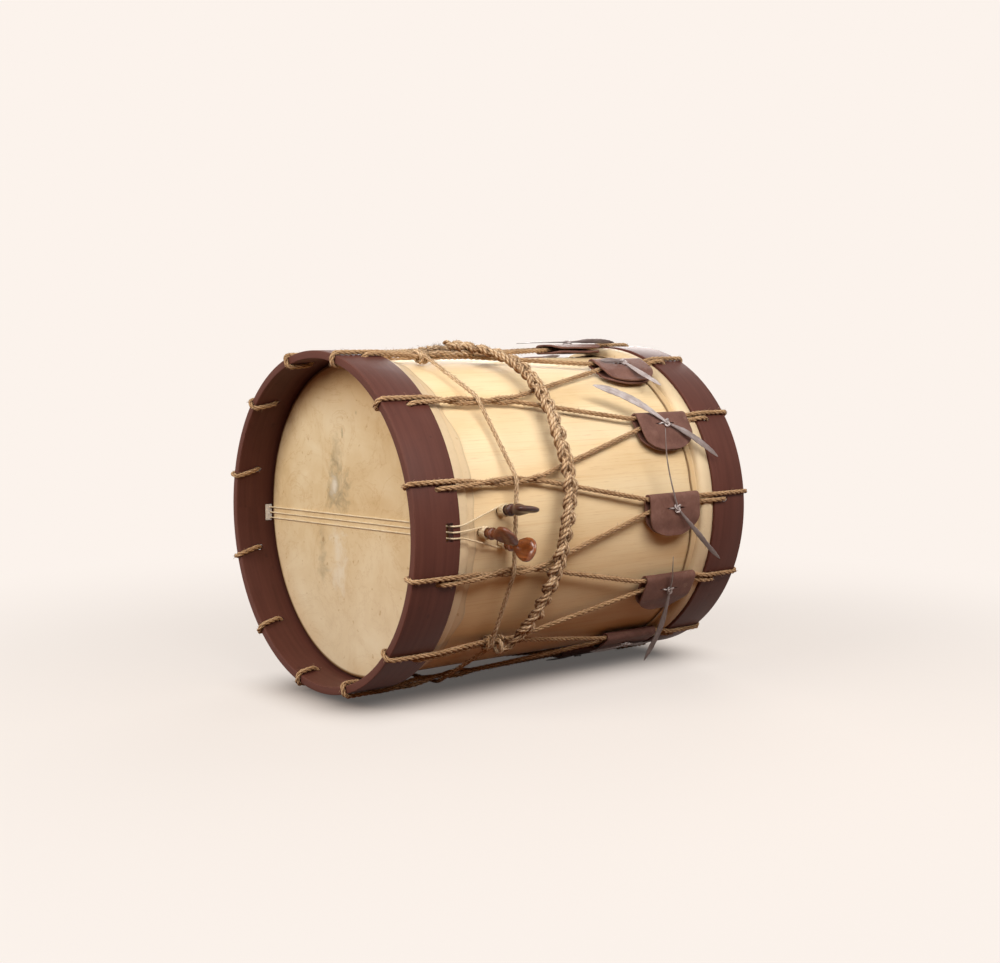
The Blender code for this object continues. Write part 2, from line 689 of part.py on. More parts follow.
def peg_mesh():
    """A snare peg on +Z, its head pressed flat for finger and thumb."""
    mesh = turned_mesh("snare_peg", peg_outline(), PEG_STEPS, closed=False, upright=True)
    for vert in mesh.vertices:
        part = (vert.co.z - PEG_NECK_HEIGHT) / (PEG_FLAT_FROM * PEG_HEAD_LENGTH)
        part = min(1.0, max(0.0, part))
        vert.co.y *= 1 - part * (1 - PEG_HEAD_FLATNESS)
    return mesh


def winding_route():
    """A gut's turns on its peg: one helix with straight ends."""
    radius = PEG_SHANK / 2 + GAP + GUT / 2
    pitch = GUT + WINDING_GAP
    count = WINDING_TURNS * LOOP_POINTS
    turns = []
    for step in range(count + 1):
        turn = 2 * pi * step / LOOP_POINTS
        height = WINDING_HEIGHT + pitch + pitch * step / LOOP_POINTS
        turns.append(Vector((radius * cos(turn), radius * sin(turn), height)))
    before = turns[0] + (turns[0] - turns[1]).normalized() * GUT
    after = turns[-1] + (turns[-1] - turns[-2]).normalized() * GUT
    return [before, *turns, after]


def place_on_shell(piece, angle, y, turn):
    """Stand a piece on the shell with its own Z pointing straight out, turned about that axis."""
    piece.rotation_mode = "ZYX"
    piece.location = around(SHELL_RADIUS, angle, y)
    piece.rotation_euler = (0, pi / 2 - angle, turn)


def add_pegs(shell, root):
    """The snare pegs with the guts' windings, and their holes in the shell."""
    route = winding_route()
    gap = least_gap(route, GUT, LOOP_POINTS // 2)
    print(f"peg winding: least gap to itself {gap * 1000:.2f} mm")
    winding = tube_curve("peg_winding", route, GUT, 1)
    peg = peg_mesh()
    bore = (PEG_SHANK / 2 + PEG_PLAY) / cos(pi / PEG_STEPS)
    reach = SHELL_WALL + PEG_INSIDE
    bore_outline = [(0.0, reach), (bore, reach), (bore, -reach), (0.0, -reach)]
    for number, ((angle, before), turn) in enumerate(zip(PEG_PLACES, PEG_HEAD_TURNS), 1):
        y = WAIST_PLACE - before
        piece = add_piece(f"snare_peg_{number}", peg, "peg_wood", root)
        place_on_shell(piece, angle, y, turn)
        coil = add_piece(f"peg_winding_{number}", winding, "gut", root)
        place_on_shell(coil, angle, y, turn)
        bore_mesh = turned_mesh(f"peg_bore_{number}", bore_outline, PEG_STEPS, closed=False, upright=True)
        bore_cutter = add_cutter(f"peg_bore_{number}", bore_mesh, root)
        place_on_shell(bore_cutter, angle, y, 0.0)
        cut(shell, bore_cutter)


def add_snares(root):
    """The guts, from the toggle at the left slot across the skin and out of the right slot to the pegs."""
    outside = HOOP_OUTER + GAP + GUT / 2
    tangent = PEG_SHANK / 2 + GAP + GUT / 2
    toggle_middle = Vector((-(HOOP_OUTER + GAP + TOGGLE / 2), SLOT_MIDDLE, LEFT_SLOT_HEIGHT))
    for number, ((angle, before), side) in enumerate(zip(PEG_PLACES, GUT_SIDES), 1):
        spread = (2 - number) * GUT_SPACING
        left = LEFT_SLOT_HEIGHT + spread
        right = RIGHT_SLOT_HEIGHT + spread
        upwards = Vector((-sin(angle), 0, cos(angle)))
        at_peg = around(SHELL_RADIUS + WINDING_HEIGHT, angle, WAIST_PLACE - before) + upwards * side * tangent
        corners = [
            Vector((toggle_middle.x + TOGGLE / 2 + GAP, SLOT_MIDDLE, left)),
            Vector((-ROPE_INSIDE, GUT_LEVEL, left)),
            Vector((outside, GUT_LEVEL, right)),
            Vector((outside, FRONT_HOOP_WIDTH + GUT, right)),
            at_peg,
        ]
        route = rounded_route(corners, GUT)
        name = f"snare_gut_{number}"
        add_piece(name, tube_curve(name, route, GUT, 1), "gut", root)
    radius = TOGGLE / 2
    half = TOGGLE_LENGTH / 2
    straight = TOGGLE_STRAIGHT * half
    outline = [(0.0, -half), (TOGGLE_END * radius, -half), (radius, -straight), (radius, straight),
               (TOGGLE_END * radius, half), (0.0, half)]
    toggle = turned_mesh("snare_toggle", outline, PEG_STEPS, closed=False, upright=True)
    add_piece("snare_toggle", toggle, "toggle_bone", root).location = toggle_middle


def stand_on_origin(root, loose):
    """Move the drum so that the middle of the foot of its box is the origin, not counting the loose sling."""
    bpy.context.view_layer.update()
    depsgraph = bpy.context.evaluated_depsgraph_get()
    lowest = Vector((1e9, 1e9, 1e9))
    highest = -lowest
    for piece in root.children:
        if piece.hide_render or piece == loose:
            continue
        solid = piece.evaluated_get(depsgraph)
        for vert in solid.to_mesh().vertices:
            place = solid.matrix_world @ vert.co
            lowest = Vector(map(min, lowest, place))
            highest = Vector(map(max, highest, place))
        solid.to_mesh_clear()
    middle = (lowest + highest) / 2
    root.location = (-middle.x, -middle.y, -lowest.z)


def main():
    for old in list(bpy.data.objects):
        bpy.data.objects.remove(old)
    root = bpy.data.objects.new("drum", None)
    bpy.context.scene.collection.objects.link(root)
    shell = add_shell_and_heads(root)
    add_hoops(root)
    add_tension_rope(root)
    add_waist_rope(root)
    braid = add_carry_braid(root)
    add_ears_and_laces(root)
    add_pegs(shell, root)
    add_snares(root)
    stand_on_origin(root, braid)


main()
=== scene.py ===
import random
from math import ceil, cos, pi, radians, sin, sqrt, tan

import bpy
import numpy as np
from mathutils import Matrix, Vector, noise


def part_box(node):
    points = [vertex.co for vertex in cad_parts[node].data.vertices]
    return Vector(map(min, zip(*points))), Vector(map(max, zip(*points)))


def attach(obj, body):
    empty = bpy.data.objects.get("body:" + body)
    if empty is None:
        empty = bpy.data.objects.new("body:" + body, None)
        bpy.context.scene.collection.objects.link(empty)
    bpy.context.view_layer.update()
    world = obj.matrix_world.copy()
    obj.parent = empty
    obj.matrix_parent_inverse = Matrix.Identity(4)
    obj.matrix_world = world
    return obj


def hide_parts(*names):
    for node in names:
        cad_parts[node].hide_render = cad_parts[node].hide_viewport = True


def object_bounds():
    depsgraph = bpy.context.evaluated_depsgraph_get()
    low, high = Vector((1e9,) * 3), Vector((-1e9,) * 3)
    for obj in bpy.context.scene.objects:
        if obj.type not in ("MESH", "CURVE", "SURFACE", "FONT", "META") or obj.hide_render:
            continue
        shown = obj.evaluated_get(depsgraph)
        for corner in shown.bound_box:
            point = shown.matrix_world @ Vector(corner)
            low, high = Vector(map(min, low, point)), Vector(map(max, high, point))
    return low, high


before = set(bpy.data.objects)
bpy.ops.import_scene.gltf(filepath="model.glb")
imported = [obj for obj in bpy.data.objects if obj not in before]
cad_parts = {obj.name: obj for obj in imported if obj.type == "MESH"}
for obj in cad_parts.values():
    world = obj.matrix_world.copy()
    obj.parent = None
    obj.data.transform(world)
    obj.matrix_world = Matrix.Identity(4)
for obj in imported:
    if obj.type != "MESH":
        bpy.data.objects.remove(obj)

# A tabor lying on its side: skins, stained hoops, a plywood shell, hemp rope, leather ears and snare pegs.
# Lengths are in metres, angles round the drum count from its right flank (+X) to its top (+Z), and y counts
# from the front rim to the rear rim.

CAD_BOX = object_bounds()
HOOP_LOW, HOOP_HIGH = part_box("front_hoop")
AXIS = Vector(((HOOP_LOW.x + HOOP_HIGH.x) / 2, HOOP_LOW.y, (HOOP_LOW.z + HOOP_HIGH.z) / 2))
CHANCE = random.Random(7)

# Shell, hoops and skins
SHELL_RADIUS = 0.1425
SHELL_WALL = 0.006
SHELL_EDGE_BEVEL = 0.0015
DRUM_LENGTH = 0.385
FRONT_HOOP_WIDTH = 0.046
REAR_HOOP_WIDTH = 0.040
HOOP_INNER = 0.1455
HOOP_OUTER = 0.1525
HOOP_WALL = HOOP_OUTER - HOOP_INNER
HOOP_ROUND = 0.0025
HOOP_EDGE = 0.0008
HOOP_OVERLAP = 0.008
ROUND_STEPS = 192
SKIN = 0.0009
SKIN_FACE = FRONT_HOOP_WIDTH - HOOP_OVERLAP
REAR_SKIN_FACE = DRUM_LENGTH - REAR_HOOP_WIDTH + HOOP_OVERLAP
FRONT_RIDGE = 0.0046
REAR_RIDGE = 0.0082
RIDGE_WIDTH = 0.0136
RIDGE_FULLNESS = 0.67
RIDGE_STEPS = 10
RIDGE_ROUND = 0.96 * pi / 2
# The ridge's height beside the hoop and the place of its crest, as shares of its whole height and width
RIDGE_BY_HOOP = 0.82
RIDGE_CREST = 0.2
PUCKER_HEIGHT = 0.0030
SKIN_TAIL = 0.012
# A tail's cut edge: how far it stands off the shell and is cut back, and the depth of its waves and nicks
TAIL_LIFT = 0.0004
TAIL_CUT = 0.0040
TAIL_WAVES = 0.0046
TAIL_NICKS = 0.0008
# Marks on the snare skin: (to the right, up, half width, half height, strength, colour)
GREY_SMEAR = (0.235, 0.190, 0.115, 1)
PALE_SCRAPE = (0.80, 0.72, 0.58, 1)
SKIN_MARKS = (
    (-0.026, 0.056, 0.010, 0.034, 0.30, GREY_SMEAR),
    (-0.027, 0.024, 0.019, 0.026, 0.64, GREY_SMEAR),
    (-0.052, -0.040, 0.011, 0.026, 0.38, GREY_SMEAR),
    (-0.030, 0.028, 0.007, 0.011, 0.80, PALE_SCRAPE),
    (-0.024, -0.032, 0.015, 0.030, 0.60, PALE_SCRAPE),
    (-0.016, 0.077, 0.003, 0.007, 0.60, GREY_SMEAR),
    (0.007, 0.097, 0.003, 0.003, 0.60, GREY_SMEAR),
)
GAP = 0.0003

# Rope; fibres are given as (number of them, how far they stand off)
ROPE = 0.0050
ROPE_DRAWN = 0.0045
LOOPS = 12
LOOP_STEP = 2 * pi / LOOPS
FRONT_TURN = radians(16.5)
REAR_TURN = radians(5)
HOLE_SETBACK = 0.024
HOLE_PLAY = 0.0003
ROPE_BEND = 0.0045
SOFT_CORNER = radians(6)
BEND_STEP = radians(14)
PAIR_GAP = 0.0006
PAIR_HALF = (ROPE + PAIR_GAP) / 2
PAIR_PRESSED = 0.0021
ROPE_OUTSIDE = HOOP_OUTER + ROPE_DRAWN / 2
ROPE_INSIDE = HOOP_INNER - ROPE_DRAWN / 2
HOLE_RADIUS = (HOOP_INNER + HOOP_OUTER) / 2
RIM_REACH = ROPE_DRAWN / 2
WAIST_PLACE = 0.107
WAIST_LEVEL = 0.011
PAIR_CLEARANCE = 0.0052
WAIST_RADIUS = SHELL_RADIUS + PAIR_CLEARANCE + ROPE / 2
WAIST_LINE = 0.0040
PAIR_BEHIND_WAIST = 0.033
PAIR_BEHIND_HOOP = 0.006
CROSSING_HALF = 0.003
PAIRS_UNDER_SLING = (2, 10)
WAIST_KNOT_ANGLE = FRONT_TURN - radians(60)
# How far behind its place the waist rope crosses each pair, counted from its knot
WAIST_SHIFTS = (0.0, -0.0035, 0.001, -0.009, -0.021, -0.015, -0.007, -0.011, -0.004, -0.009, -0.003, -0.007)
ROPE_STEP = 0.0014
ROPE_LAY = 0.018
WAIST_LAY = 0.9 * ROPE_LAY
STRAND_SHARE = 0.25
STRAND_SIDES = 7
TWIST_POINTS = 24
FIBRE = 0.00016
TENSION_FIBRES = (420, 0.0036)
WAIST_FIBRES = (400, 0.0034)
HEMP = ((0.200, 0.100, 0.042, 1), (0.450, 0.275, 0.140, 1), (0.680, 0.490, 0.300, 1))
PALE_HEMP = ((0.200, 0.105, 0.048, 1), (0.540, 0.360, 0.205, 1), (0.840, 0.680, 0.480, 1))

# Plaited sling
BRAID = 0.0128
BRAID_SOLID = 0.012
BRAID_STEP = 0.0016
BRAID_CURVE_STEP = 0.004
# Its route: (angle in degrees, distance behind the waist rope, gap over the strands)
BRAID_ROUTE = (
    (76.5, 0.010, 0.0012),
    (76.5, 0.022, 0.0013),
    (74, 0.039, 0.0006),
    (68, 0.053, 0.0002),
    (61, 0.060, 0.0002),
    (53, 0.0605, 0.0002),
    (44, 0.0595, 0.0002),
    (35, 0.0585, 0.0002),
    (26, 0.057, 0.0002),
    (17, 0.0565, 0.0002),
    (9, 0.054, 0.0002),
    (1, 0.0495, 0.0002),
    (-7, 0.045, 0.0002),
    (-15, 0.040, 0.0002),
    (-23, 0.0355, 0.0002),
    (-31, 0.030, 0.0002),
    (-37, 0.023, 0.0006),
    (-42, 0.0165, 0.0012),
    (-43.5, 0.010, 0.0012),
)
PLAIT_PITCH = 0.039
PLAIT_SWING = 0.0044
PLAIT_WEAVE = 0.0021
PLAIT_STRAND = 0.0058
PLAIT_LAY = 0.019
PLAIT_FIBRES = (320, 0.0034)
# How uneven the plait is: shift of its turns in radians, slack of its strands and their least thickness
PLAIT_SHIFT = 0.45
PLAIT_SLACK = 0.14
PLAIT_THINNEST = 0.62
# Towards its lower end the plait is drawn in, from so far before the end to so far before it, to this share
PLAIT_DRAWN_FROM = 0.030
PLAIT_DRAWN_TO = 0.006
PLAIT_DRAWN_IN = 0.45

# Ties of the sling and the waist rope
SLING_TOP_ANGLE = FRONT_TURN + radians(60)
TIE_STEP = 0.0012
TIE_FIBRE_REACH = 0.0045
SLING_END_POINTS = 9
SLING_END_STEP = 0.002
SLING_END_RISE = 0.0007
SLING_END_SWAY = 0.0009
SLING_END_FIBRES = 200
# Loose ends of the sling along a pair: (aside, height over the pair, front end, rear end, thickness)
SLING_ENDS = (
    (0.0040, 0.0046, 0.090, 0.150, 0.0056),
    (-0.0036, 0.0040, 0.086, 0.142, 0.0058),
    (0.0004, 0.0078, 0.095, 0.128, 0.0050),
)
BINDING_LAY = 0.015
BINDING_STEPS = 16
# Rope bound round a pair: (name, angle, front end, rear end, turns, thickness, height of what else it holds,
# number of fibres)
BINDINGS = (
    ("sling_lashing", SLING_TOP_ANGLE, 0.083, 0.094, 2, 0.0046, 0.0, 40),
    ("sling_foot", WAIST_KNOT_ANGLE, 0.1145, 0.1205, 1, 0.0040, 0.55 * BRAID, 60),
    ("waist_knot", WAIST_KNOT_ANGLE, 0.103, 0.113, 2, 0.0042, 0.0, 60),
)

# Tug ears and laces
EAR_FROM_RIM = 0.093
EAR_MIDDLE = DRUM_LENGTH - EAR_FROM_RIM
EAR_LENGTH = 0.062
EAR_DROP = 0.0315
EAR_BACK_TRAVEL = 0.0085
# Distances below the rope pair's middle: the flaps begin to hang free, their curved outline begins, the
# channel ends, and the flaps meet
EAR_HANG = 0.009
EAR_CURVE = 0.0118
EAR_CHANNEL_END = 0.0165
EAR_FLAPS_MEET = 0.0255
EAR_EDGE = 0.0005
# How far an outer flap springs open, least and most, how much more at one corner, how it is rippled, and how
# far an inner flap goes towards the shell
FLAP_SPRING = (0.0006, 0.0022)
FLAP_BOW = 0.0010
FLAP_RIPPLE = 0.0006
FLAP_EDGE_RIPPLE = 0.0008
INNER_FLAP_DROP = 0.0004
EAR_STEP = 0.0006
# How far in front of an ear's middle the lower strand leaves it
STRAND_LEAVES = 0.010
# How far each ear is drawn towards the rear rim from the ears' common place
EAR_SHIFTS = (-0.001, 0.0075, 0.0075, 0.006, 0.004, 0.0075, 0.007, 0.0, 0.005, 0.0075, 0.003, 0.0075)
LEATHER = 0.0017
CHANNEL_PLAY = 0.0005
FOLD_PLAY = 0.0008
EAR_CLEARANCE = 0.0036
EAR_ROPE_RADIUS = SHELL_RADIUS + EAR_CLEARANCE + LEATHER + CHANNEL_PLAY + ROPE / 2
LACE = 0.0016
LACE_PLAY = 0.0004
LACE_STEP = 0.0006
LACE_SIDES = 8
LACE_ANGLE = -(PAIR_HALF + ROPE / 2 + LACE_PLAY + LACE / 2) / EAR_ROPE_RADIUS
SLIT = 0.0020
SLIT_STRETCH = 12
SLIT_REACH = 0.012
# The thong's bar along the slit: (1 on the leather or 0 tucked in, place behind the ear's middle)
LACE_BAR = ((0, -0.0070), (1, -0.0055), (1, 0.0040), (0, 0.0052))
LACE_BEND = 0.0014
BAR_SECTION = (0.0008, 0.0007)
KNOT_SECTION = (0.0010, 0.0007)
KNOT_STEPS = 72
KNOT_LOOP = 0.00125
KNOT_RISE = 0.0009
KNOT_LIFT = 0.0010
TAIL_POINTS = 40
TAIL_ASIDE = 0.008
TAIL_SIDES = 10
TAIL_START = 0.001
# How a tail rises between its ends, at the middle and from tail to tail, and how it wavers
TAIL_RISE = 0.0014
TAIL_RISE_VARIES = 0.0010
TAIL_WAVER = 0.0004
# A tail's share of its roll, its half width and its half height, each at shares of its length
TAIL_ROLL = ((0.0, 0.25, 0.8, 1.0), (0.3, 1.0, 0.9, 0.5))
TAIL_WIDTH = ((0.0, 0.10, 0.30, 0.55, 0.85, 0.96, 1.0),
              (0.0011, 0.0015, 0.0027, 0.0032, 0.0026, 0.0014, 0.0002))
TAIL_HEIGHT = ((0.0, 0.3, 1.0), (0.0008, 0.0006, 0.0003))
# Two tails for each ear: (direction in degrees, length, roll on edge in degrees, bow sideways, share of the
# usual width, paleness)
LACE_TAILS = (
    ((-48, 0.070, -40, 0.002, 0.75, 0.35), (94, 0.074, -62, -0.004, 0.70, 0.40)),
    ((-45, 0.056, -30, -0.002, 0.90, 0.55), (146, 0.076, 12, 0.004, 1.25, 1.00)),
    ((-85, 0.046, -15, 0.001, 1.00, 0.95), (165, 0.018, 20, -0.002, 0.80, 0.30)),
    ((-8, 0.048, 70, 0.004, 0.80, 0.30), (185, 0.062, 10, 0.002, 0.80, 0.30)),
    ((-30, 0.040, 30, -0.003, 1.00, 0.60), (150, 0.044, 10, 0.003, 1.00, 0.70)),
    ((-52, 0.036, 0, 0.002, 1.00, 0.50), (205, 0.048, 45, -0.004, 0.90, 0.40)),
    ((-25, 0.044, 15, 0.003, 1.00, 0.80), (160, 0.036, -30, 0.002, 0.90, 0.50)),
    ((-40, 0.042, 50, -0.002, 0.90, 0.40), (145, 0.040, 0, 0.003, 1.00, 0.70)),
    ((-12, 0.034, 0, 0.002, 1.00, 0.50), (168, 0.034, 0, -0.002, 1.00, 0.50)),
    ((-8, 0.036, 0, -0.002, 1.00, 0.40), (172, 0.036, 0, 0.002, 1.00, 0.40)),
    ((-15, 0.030, 0, 0.001, 1.00, 0.50), (190, 0.034, 0, -0.001, 1.00, 0.40)),
    ((-92, 0.085, -52, -0.003, 0.80, 0.45), (98, 0.039, -70, 0.001, 0.45, 0.60)),
)

# Snares and pegs
GUT = 0.0012
GUT_DRAWN = 0.0015
GUT_SIDES = 8
GUT_STEP = 0.0025
GUT_PAST_HOOP = 0.002
SLOT_WIDTH = 0.0076
SLOT_HEIGHT = 0.016
SLOT_PAST_SKIN = 0.0006
SLOT_MIDDLE = SKIN_FACE + SLOT_PAST_SKIN - SLOT_WIDTH / 2
LEFT_SLOT_HEIGHT = -0.0065
RIGHT_SLOT_HEIGHT = 0.0045
GUT_SPACING = 0.0051
GUT_LEVEL = SKIN_FACE - GUT_DRAWN / 2
TOGGLE = 0.005
TOGGLE_LENGTH = 0.026
TOGGLE_ROUND = 0.0008
TOGGLE_STEPS = 24
# Each peg: (angle, distance in front of the waist rope, turn of its head, side that its gut passes)
PEGS = (
    (radians(7.1), 0.011, radians(80), 1),
    (radians(0.4), 0.032, radians(41), 1),
    (radians(-3.8), 0.011, radians(-18), -1),
)
PEG_SHANK = 0.0080
PEG_INSIDE = 0.012
PEG_NECK_HEIGHT = 0.021
PEG_HEAD_WIDTH = 0.021
PEG_HEAD_LENGTH = 0.026
PEG_HEAD_FLATNESS = 0.40
PEG_STEPS = 40
# Each peg's wood: (name, dark tone, light tone, weight of its lacquer)
PEG_WOODS = (
    ("peg_ebony", (0.030, 0.011, 0.008, 1), (0.100, 0.038, 0.026, 1), 0.15),
    ("peg_rosewood", (0.075, 0.019, 0.007, 1), (0.200, 0.058, 0.021, 1), 0.35),
    ("peg_boxwood", (0.130, 0.031, 0.007, 1), (0.340, 0.096, 0.022, 1), 0.6),
)
WINDING_RADIUS = PEG_SHANK / 2 + GAP + GUT / 2
WINDING_TURNS = 5
WINDING_STEPS = 20
WINDING_POINT_STEP = 0.0008
WINDING_START = 0.0020
WINDING_PITCH = GUT + 0.00028
# Where a gut meets its winding, above the shell
GUT_AT_PEG = 0.004

# View and light
BACKDROP = (0.973, 0.896, 0.839, 1.0)
FLOOR_SIZE = 12
FLOOR_DROP = 0.0005
FLOOR_COLOUR = (0.66, 0.60, 0.55, 1)
# The floor's colour right under the drum: a painted contact shadow
FLOOR_PAINTED_SHADOW = (0.12, 0.075, 0.05, 1)
FLOOR_BOUNCE = (0.15, 0.052, 0.016, 1)
SKY_LIGHT = (1.0, 0.80, 0.60, 1)
SKY_STRENGTH = 0.04
# Lamps: (name, place, width, height, watts, colour)
LAMPS = (
    ("key", (0.72, -0.12, 0.75), 1.3, 0.4, 9.2, (1.0, 0.96, 0.92)),
    ("front", (-0.15, -1.85, 1.18), 1.2, 1.2, 37.0, (1.0, 0.98, 0.95)),
    ("overhead", (-0.20, 1.25, 1.80), 1.0, 1.0, 3.0, (1.0, 0.98, 0.96)),
    ("back", (-1.35, 1.40, 0.80), 1.2, 1.2, 30.0, (1.0, 0.98, 0.96)),
)
LAMP_TARGET = Vector((0, 0, 0.16))
EYE = Vector((1.17283, -0.71174, 0.17451))
EYE_AZIMUTH = radians(51.94)
EYE_ELEVATION = radians(5.76)
LENS = 55.86
SENSOR_WIDTH = 36


class Wire:
    """A value in a finish's shader; arithmetic on it adds Math nodes."""

    def __init__(self, paint, socket):
        self.paint = paint
        self.socket = socket

    def math(self, operation, *values):
        sockets = dict(enumerate(values))
        return self.paint.node("ShaderNodeMath", {"operation": operation}, sockets)

    def __add__(self, other):
        return self.math("ADD", self, other)

    def __radd__(self, other):
        return self.math("ADD", other, self)

    def __sub__(self, other):
        return self.math("SUBTRACT", self, other)

    def __rsub__(self, other):
        return self.math("SUBTRACT", other, self)

    def __mul__(self, other):
        return self.math("MULTIPLY", self, other)

    def __truediv__(self, other):
        return self.math("DIVIDE", self, other)

    def __pow__(self, other):
        return self.math("POWER", self, other)

    def sine(self):
        return self.math("SINE", self)

    def size(self):
        return self.math("ABSOLUTE", self)


class Paint:
    """One finish: a material, its even values, and the pattern that is wired to it."""

    def __init__(self, name, even):
        self.material = bpy.data.materials.new(name)
        self.material.use_nodes = True
        self.tree = self.material.node_tree
        self.surface = self.tree.nodes["Principled BSDF"]
        for socket, value in even.items():
            self.surface.inputs[socket].default_value = value

    def feed(self, socket, value):
        if isinstance(value, Wire):
            self.tree.links.new(value.socket, socket)
        else:
            socket.default_value = value

    def node(self, kind, settings, sockets, output=0):
        """Any shader node: its settings are set first, then its sockets get their values or links."""
        made = self.tree.nodes.new(kind)
        for name, value in settings.items():
            if name == "stops":
                self.set_stops(made.color_ramp, value)
            else:
                setattr(made, name, value)
        for name, value in sockets.items():
            self.feed(made.inputs[name], value)
        return Wire(self, made.outputs[output])

    def set_stops(self, ramp, stops):
        while len(ramp.elements) < len(stops):
            ramp.elements.new(0.5)
        for element, (place, colour) in zip(ramp.elements, stops):
            element.position = place
            element.color = colour

    def place(self):
        return self.node("ShaderNodeTexCoord", {}, {}, "Object")

    def parts(self, vector):
        return [self.node("ShaderNodeSeparateXYZ", {}, {0: vector}, part) for part in range(3)]

    def lay(self):
        """The piece's own map: the share of the way round its strand, and the way along it in metres."""
        return self.parts(self.node("ShaderNodeUVMap", {"uv_map": "lay"}, {}))[:2]

    def attribute(self, name):
        return self.node("ShaderNodeAttribute", {"attribute_name": name}, {}, "Fac")

    def joined(self, x, y, z):
        return self.node("ShaderNodeCombineXYZ", {}, {0: x, 1: y, 2: z})

    def polar(self):
        """Round the drum in radians, along it from the front rim, and out from its axis."""
        x, y, z = self.parts(self.place())
        x = x - AXIS.x
        z = z - AXIS.z
        angle = x.math("ARCTAN2", z, x)
        radius = (x * x + z * z) ** 0.5
        return angle, y - AXIS.y, radius

    def noise(self, vector, scale, detail=3.0, roughness=0.55, distortion=0.0):
        sockets = {"Vector": vector, "Scale": scale, "Detail": detail, "Roughness": roughness,
                   "Distortion": distortion}
        return self.node("ShaderNodeTexNoise", {}, sockets)

    def grain(self, place, scales, *manner):
        """Noise that is drawn out: each part of the place has a scale of its own."""
        scaled = [part * scale for part, scale in zip(place, scales)]
        return self.noise(self.joined(*scaled), 1.0, *manner)

    def step(self, value, low, high):
        """0 below low, 1 above high and a smooth rise between; low may be the higher one."""
        sockets = {"Value": value, "From Min": low, "From Max": high, "To Min": 0.0, "To Max": 1.0}
        return self.node("ShaderNodeMapRange", {"interpolation_type": "SMOOTHSTEP"}, sockets)

    def mix(self, share, first, second, blend="MIX"):
        settings = {"data_type": "RGBA", "blend_type": blend}
        return self.node("ShaderNodeMix", settings, {0: share, 6: first, 7: second}, 2)

    def tint(self, share, first, second):
        """The first colour multiplied by the second, as far as the share says."""
        return self.mix(share, first, second, "MULTIPLY")

    def ramp(self, value, stops):
        return self.node("ShaderNodeValToRGB", {"stops": stops}, {0: value})

    def finish(self, colour, roughness, relief, depth):
        """Wire the pattern to the surface: colour, roughness and a relief of that depth in metres."""
        self.feed(self.surface.inputs["Base Color"], colour)
        self.feed(self.surface.inputs["Roughness"], roughness)
        bump = self.node("ShaderNodeBump", {}, {"Height": relief, "Strength": 1.0, "Distance": depth})
        self.feed(self.surface.inputs["Normal"], bump)
        return self.material


class Sky(Paint):
    """The world's light, wired like a finish."""

    def __init__(self, world):
        self.tree = world.node_tree


def shell_finish():
    """Pale plywood under thin lacquer: fine grain and pores along the drum, and soft figure."""
    paint = Paint("shell_plywood", {"Coat Weight": 0.02, "Coat Roughness": 0.35, "Specular IOR Level": 0.10})
    angle, along, radius = paint.polar()
    place = (angle * SHELL_RADIUS, along, radius)
    figure = paint.grain(place, (22, 2.2, 5), 4.0, 0.6, 0.6)
    fine = paint.grain(place, (800, 8, 60), 2.0, 0.6)
    pores = paint.grain(place, (1600, 60, 60), 1.0, 0.5)
    cloud = paint.noise(paint.place(), 9.0, 3.0, 0.5, 0.3)
    colour = paint.ramp(figure, (
        (0.25, (0.80, 0.565, 0.305, 1)),
        (0.50, (0.88, 0.685, 0.415, 1)),
        (0.75, (0.92, 0.765, 0.515, 1)),
    ))
    for pattern, low, high, share, tone in (
            (cloud, 0.40, 0.75, 0.55, (0.86, 0.74, 0.56, 1)),
            (fine, 0.50, 0.80, 0.36, (0.80, 0.66, 0.48, 1)),
            (pores, 0.62, 0.72, 0.22, (0.62, 0.46, 0.30, 1))):
        colour = paint.tint(paint.step(pattern, low, high) * share, colour, tone)
    roughness = 0.42 + fine * 0.14
    return paint.finish(colour, roughness, fine * 0.7 + pores * 0.3, 0.00006)


def hoop_finish():
    """Dark red-brown stain on bent wood: close grain round the hoop, rubbed pale along the edges."""
    paint = Paint("stained_hoop", {"Specular IOR Level": 0.17})
    angle, along, radius = paint.polar()
    grain = paint.grain((angle * HOOP_OUTER, along, radius), (12, 260, 260), 3.0, 0.6, 0.25)
    cloud = paint.noise(paint.place(), 16.0, 3.0, 0.6)
    specks = paint.noise(paint.place(), 420.0, 2.0, 0.6)
    colour = paint.ramp(grain * 0.55 + cloud * 0.45, (
        (0.30, (0.074, 0.023, 0.016, 1)),
        (0.52, (0.096, 0.031, 0.022, 1)),
        (0.74, (0.120, 0.041, 0.029, 1)),
    ))
    edge = 0.75 * HOOP_EDGE
    to_front = (along - edge).size()
    to_rear = (along - (DRUM_LENGTH - edge)).size()
    rim = to_front.math("MINIMUM", to_front, to_rear)
    worn = paint.step(rim + specks * 0.0022, 0.0030, 0.0012)
    colour = paint.mix(worn * 0.12, colour, (0.200, 0.090, 0.062, 1))
    dents = paint.step(paint.noise(paint.place(), 95.0, 2.0, 0.5), 0.68, 0.78)
    colour = paint.mix(dents * 0.35, colour, (0.035, 0.013, 0.010, 1))
    roughness = 0.44 + cloud * 0.16 + worn * 0.08
    return paint.finish(colour, roughness, grain * 0.8 + specks * 0.2 - dents * 0.5, 0.00010)


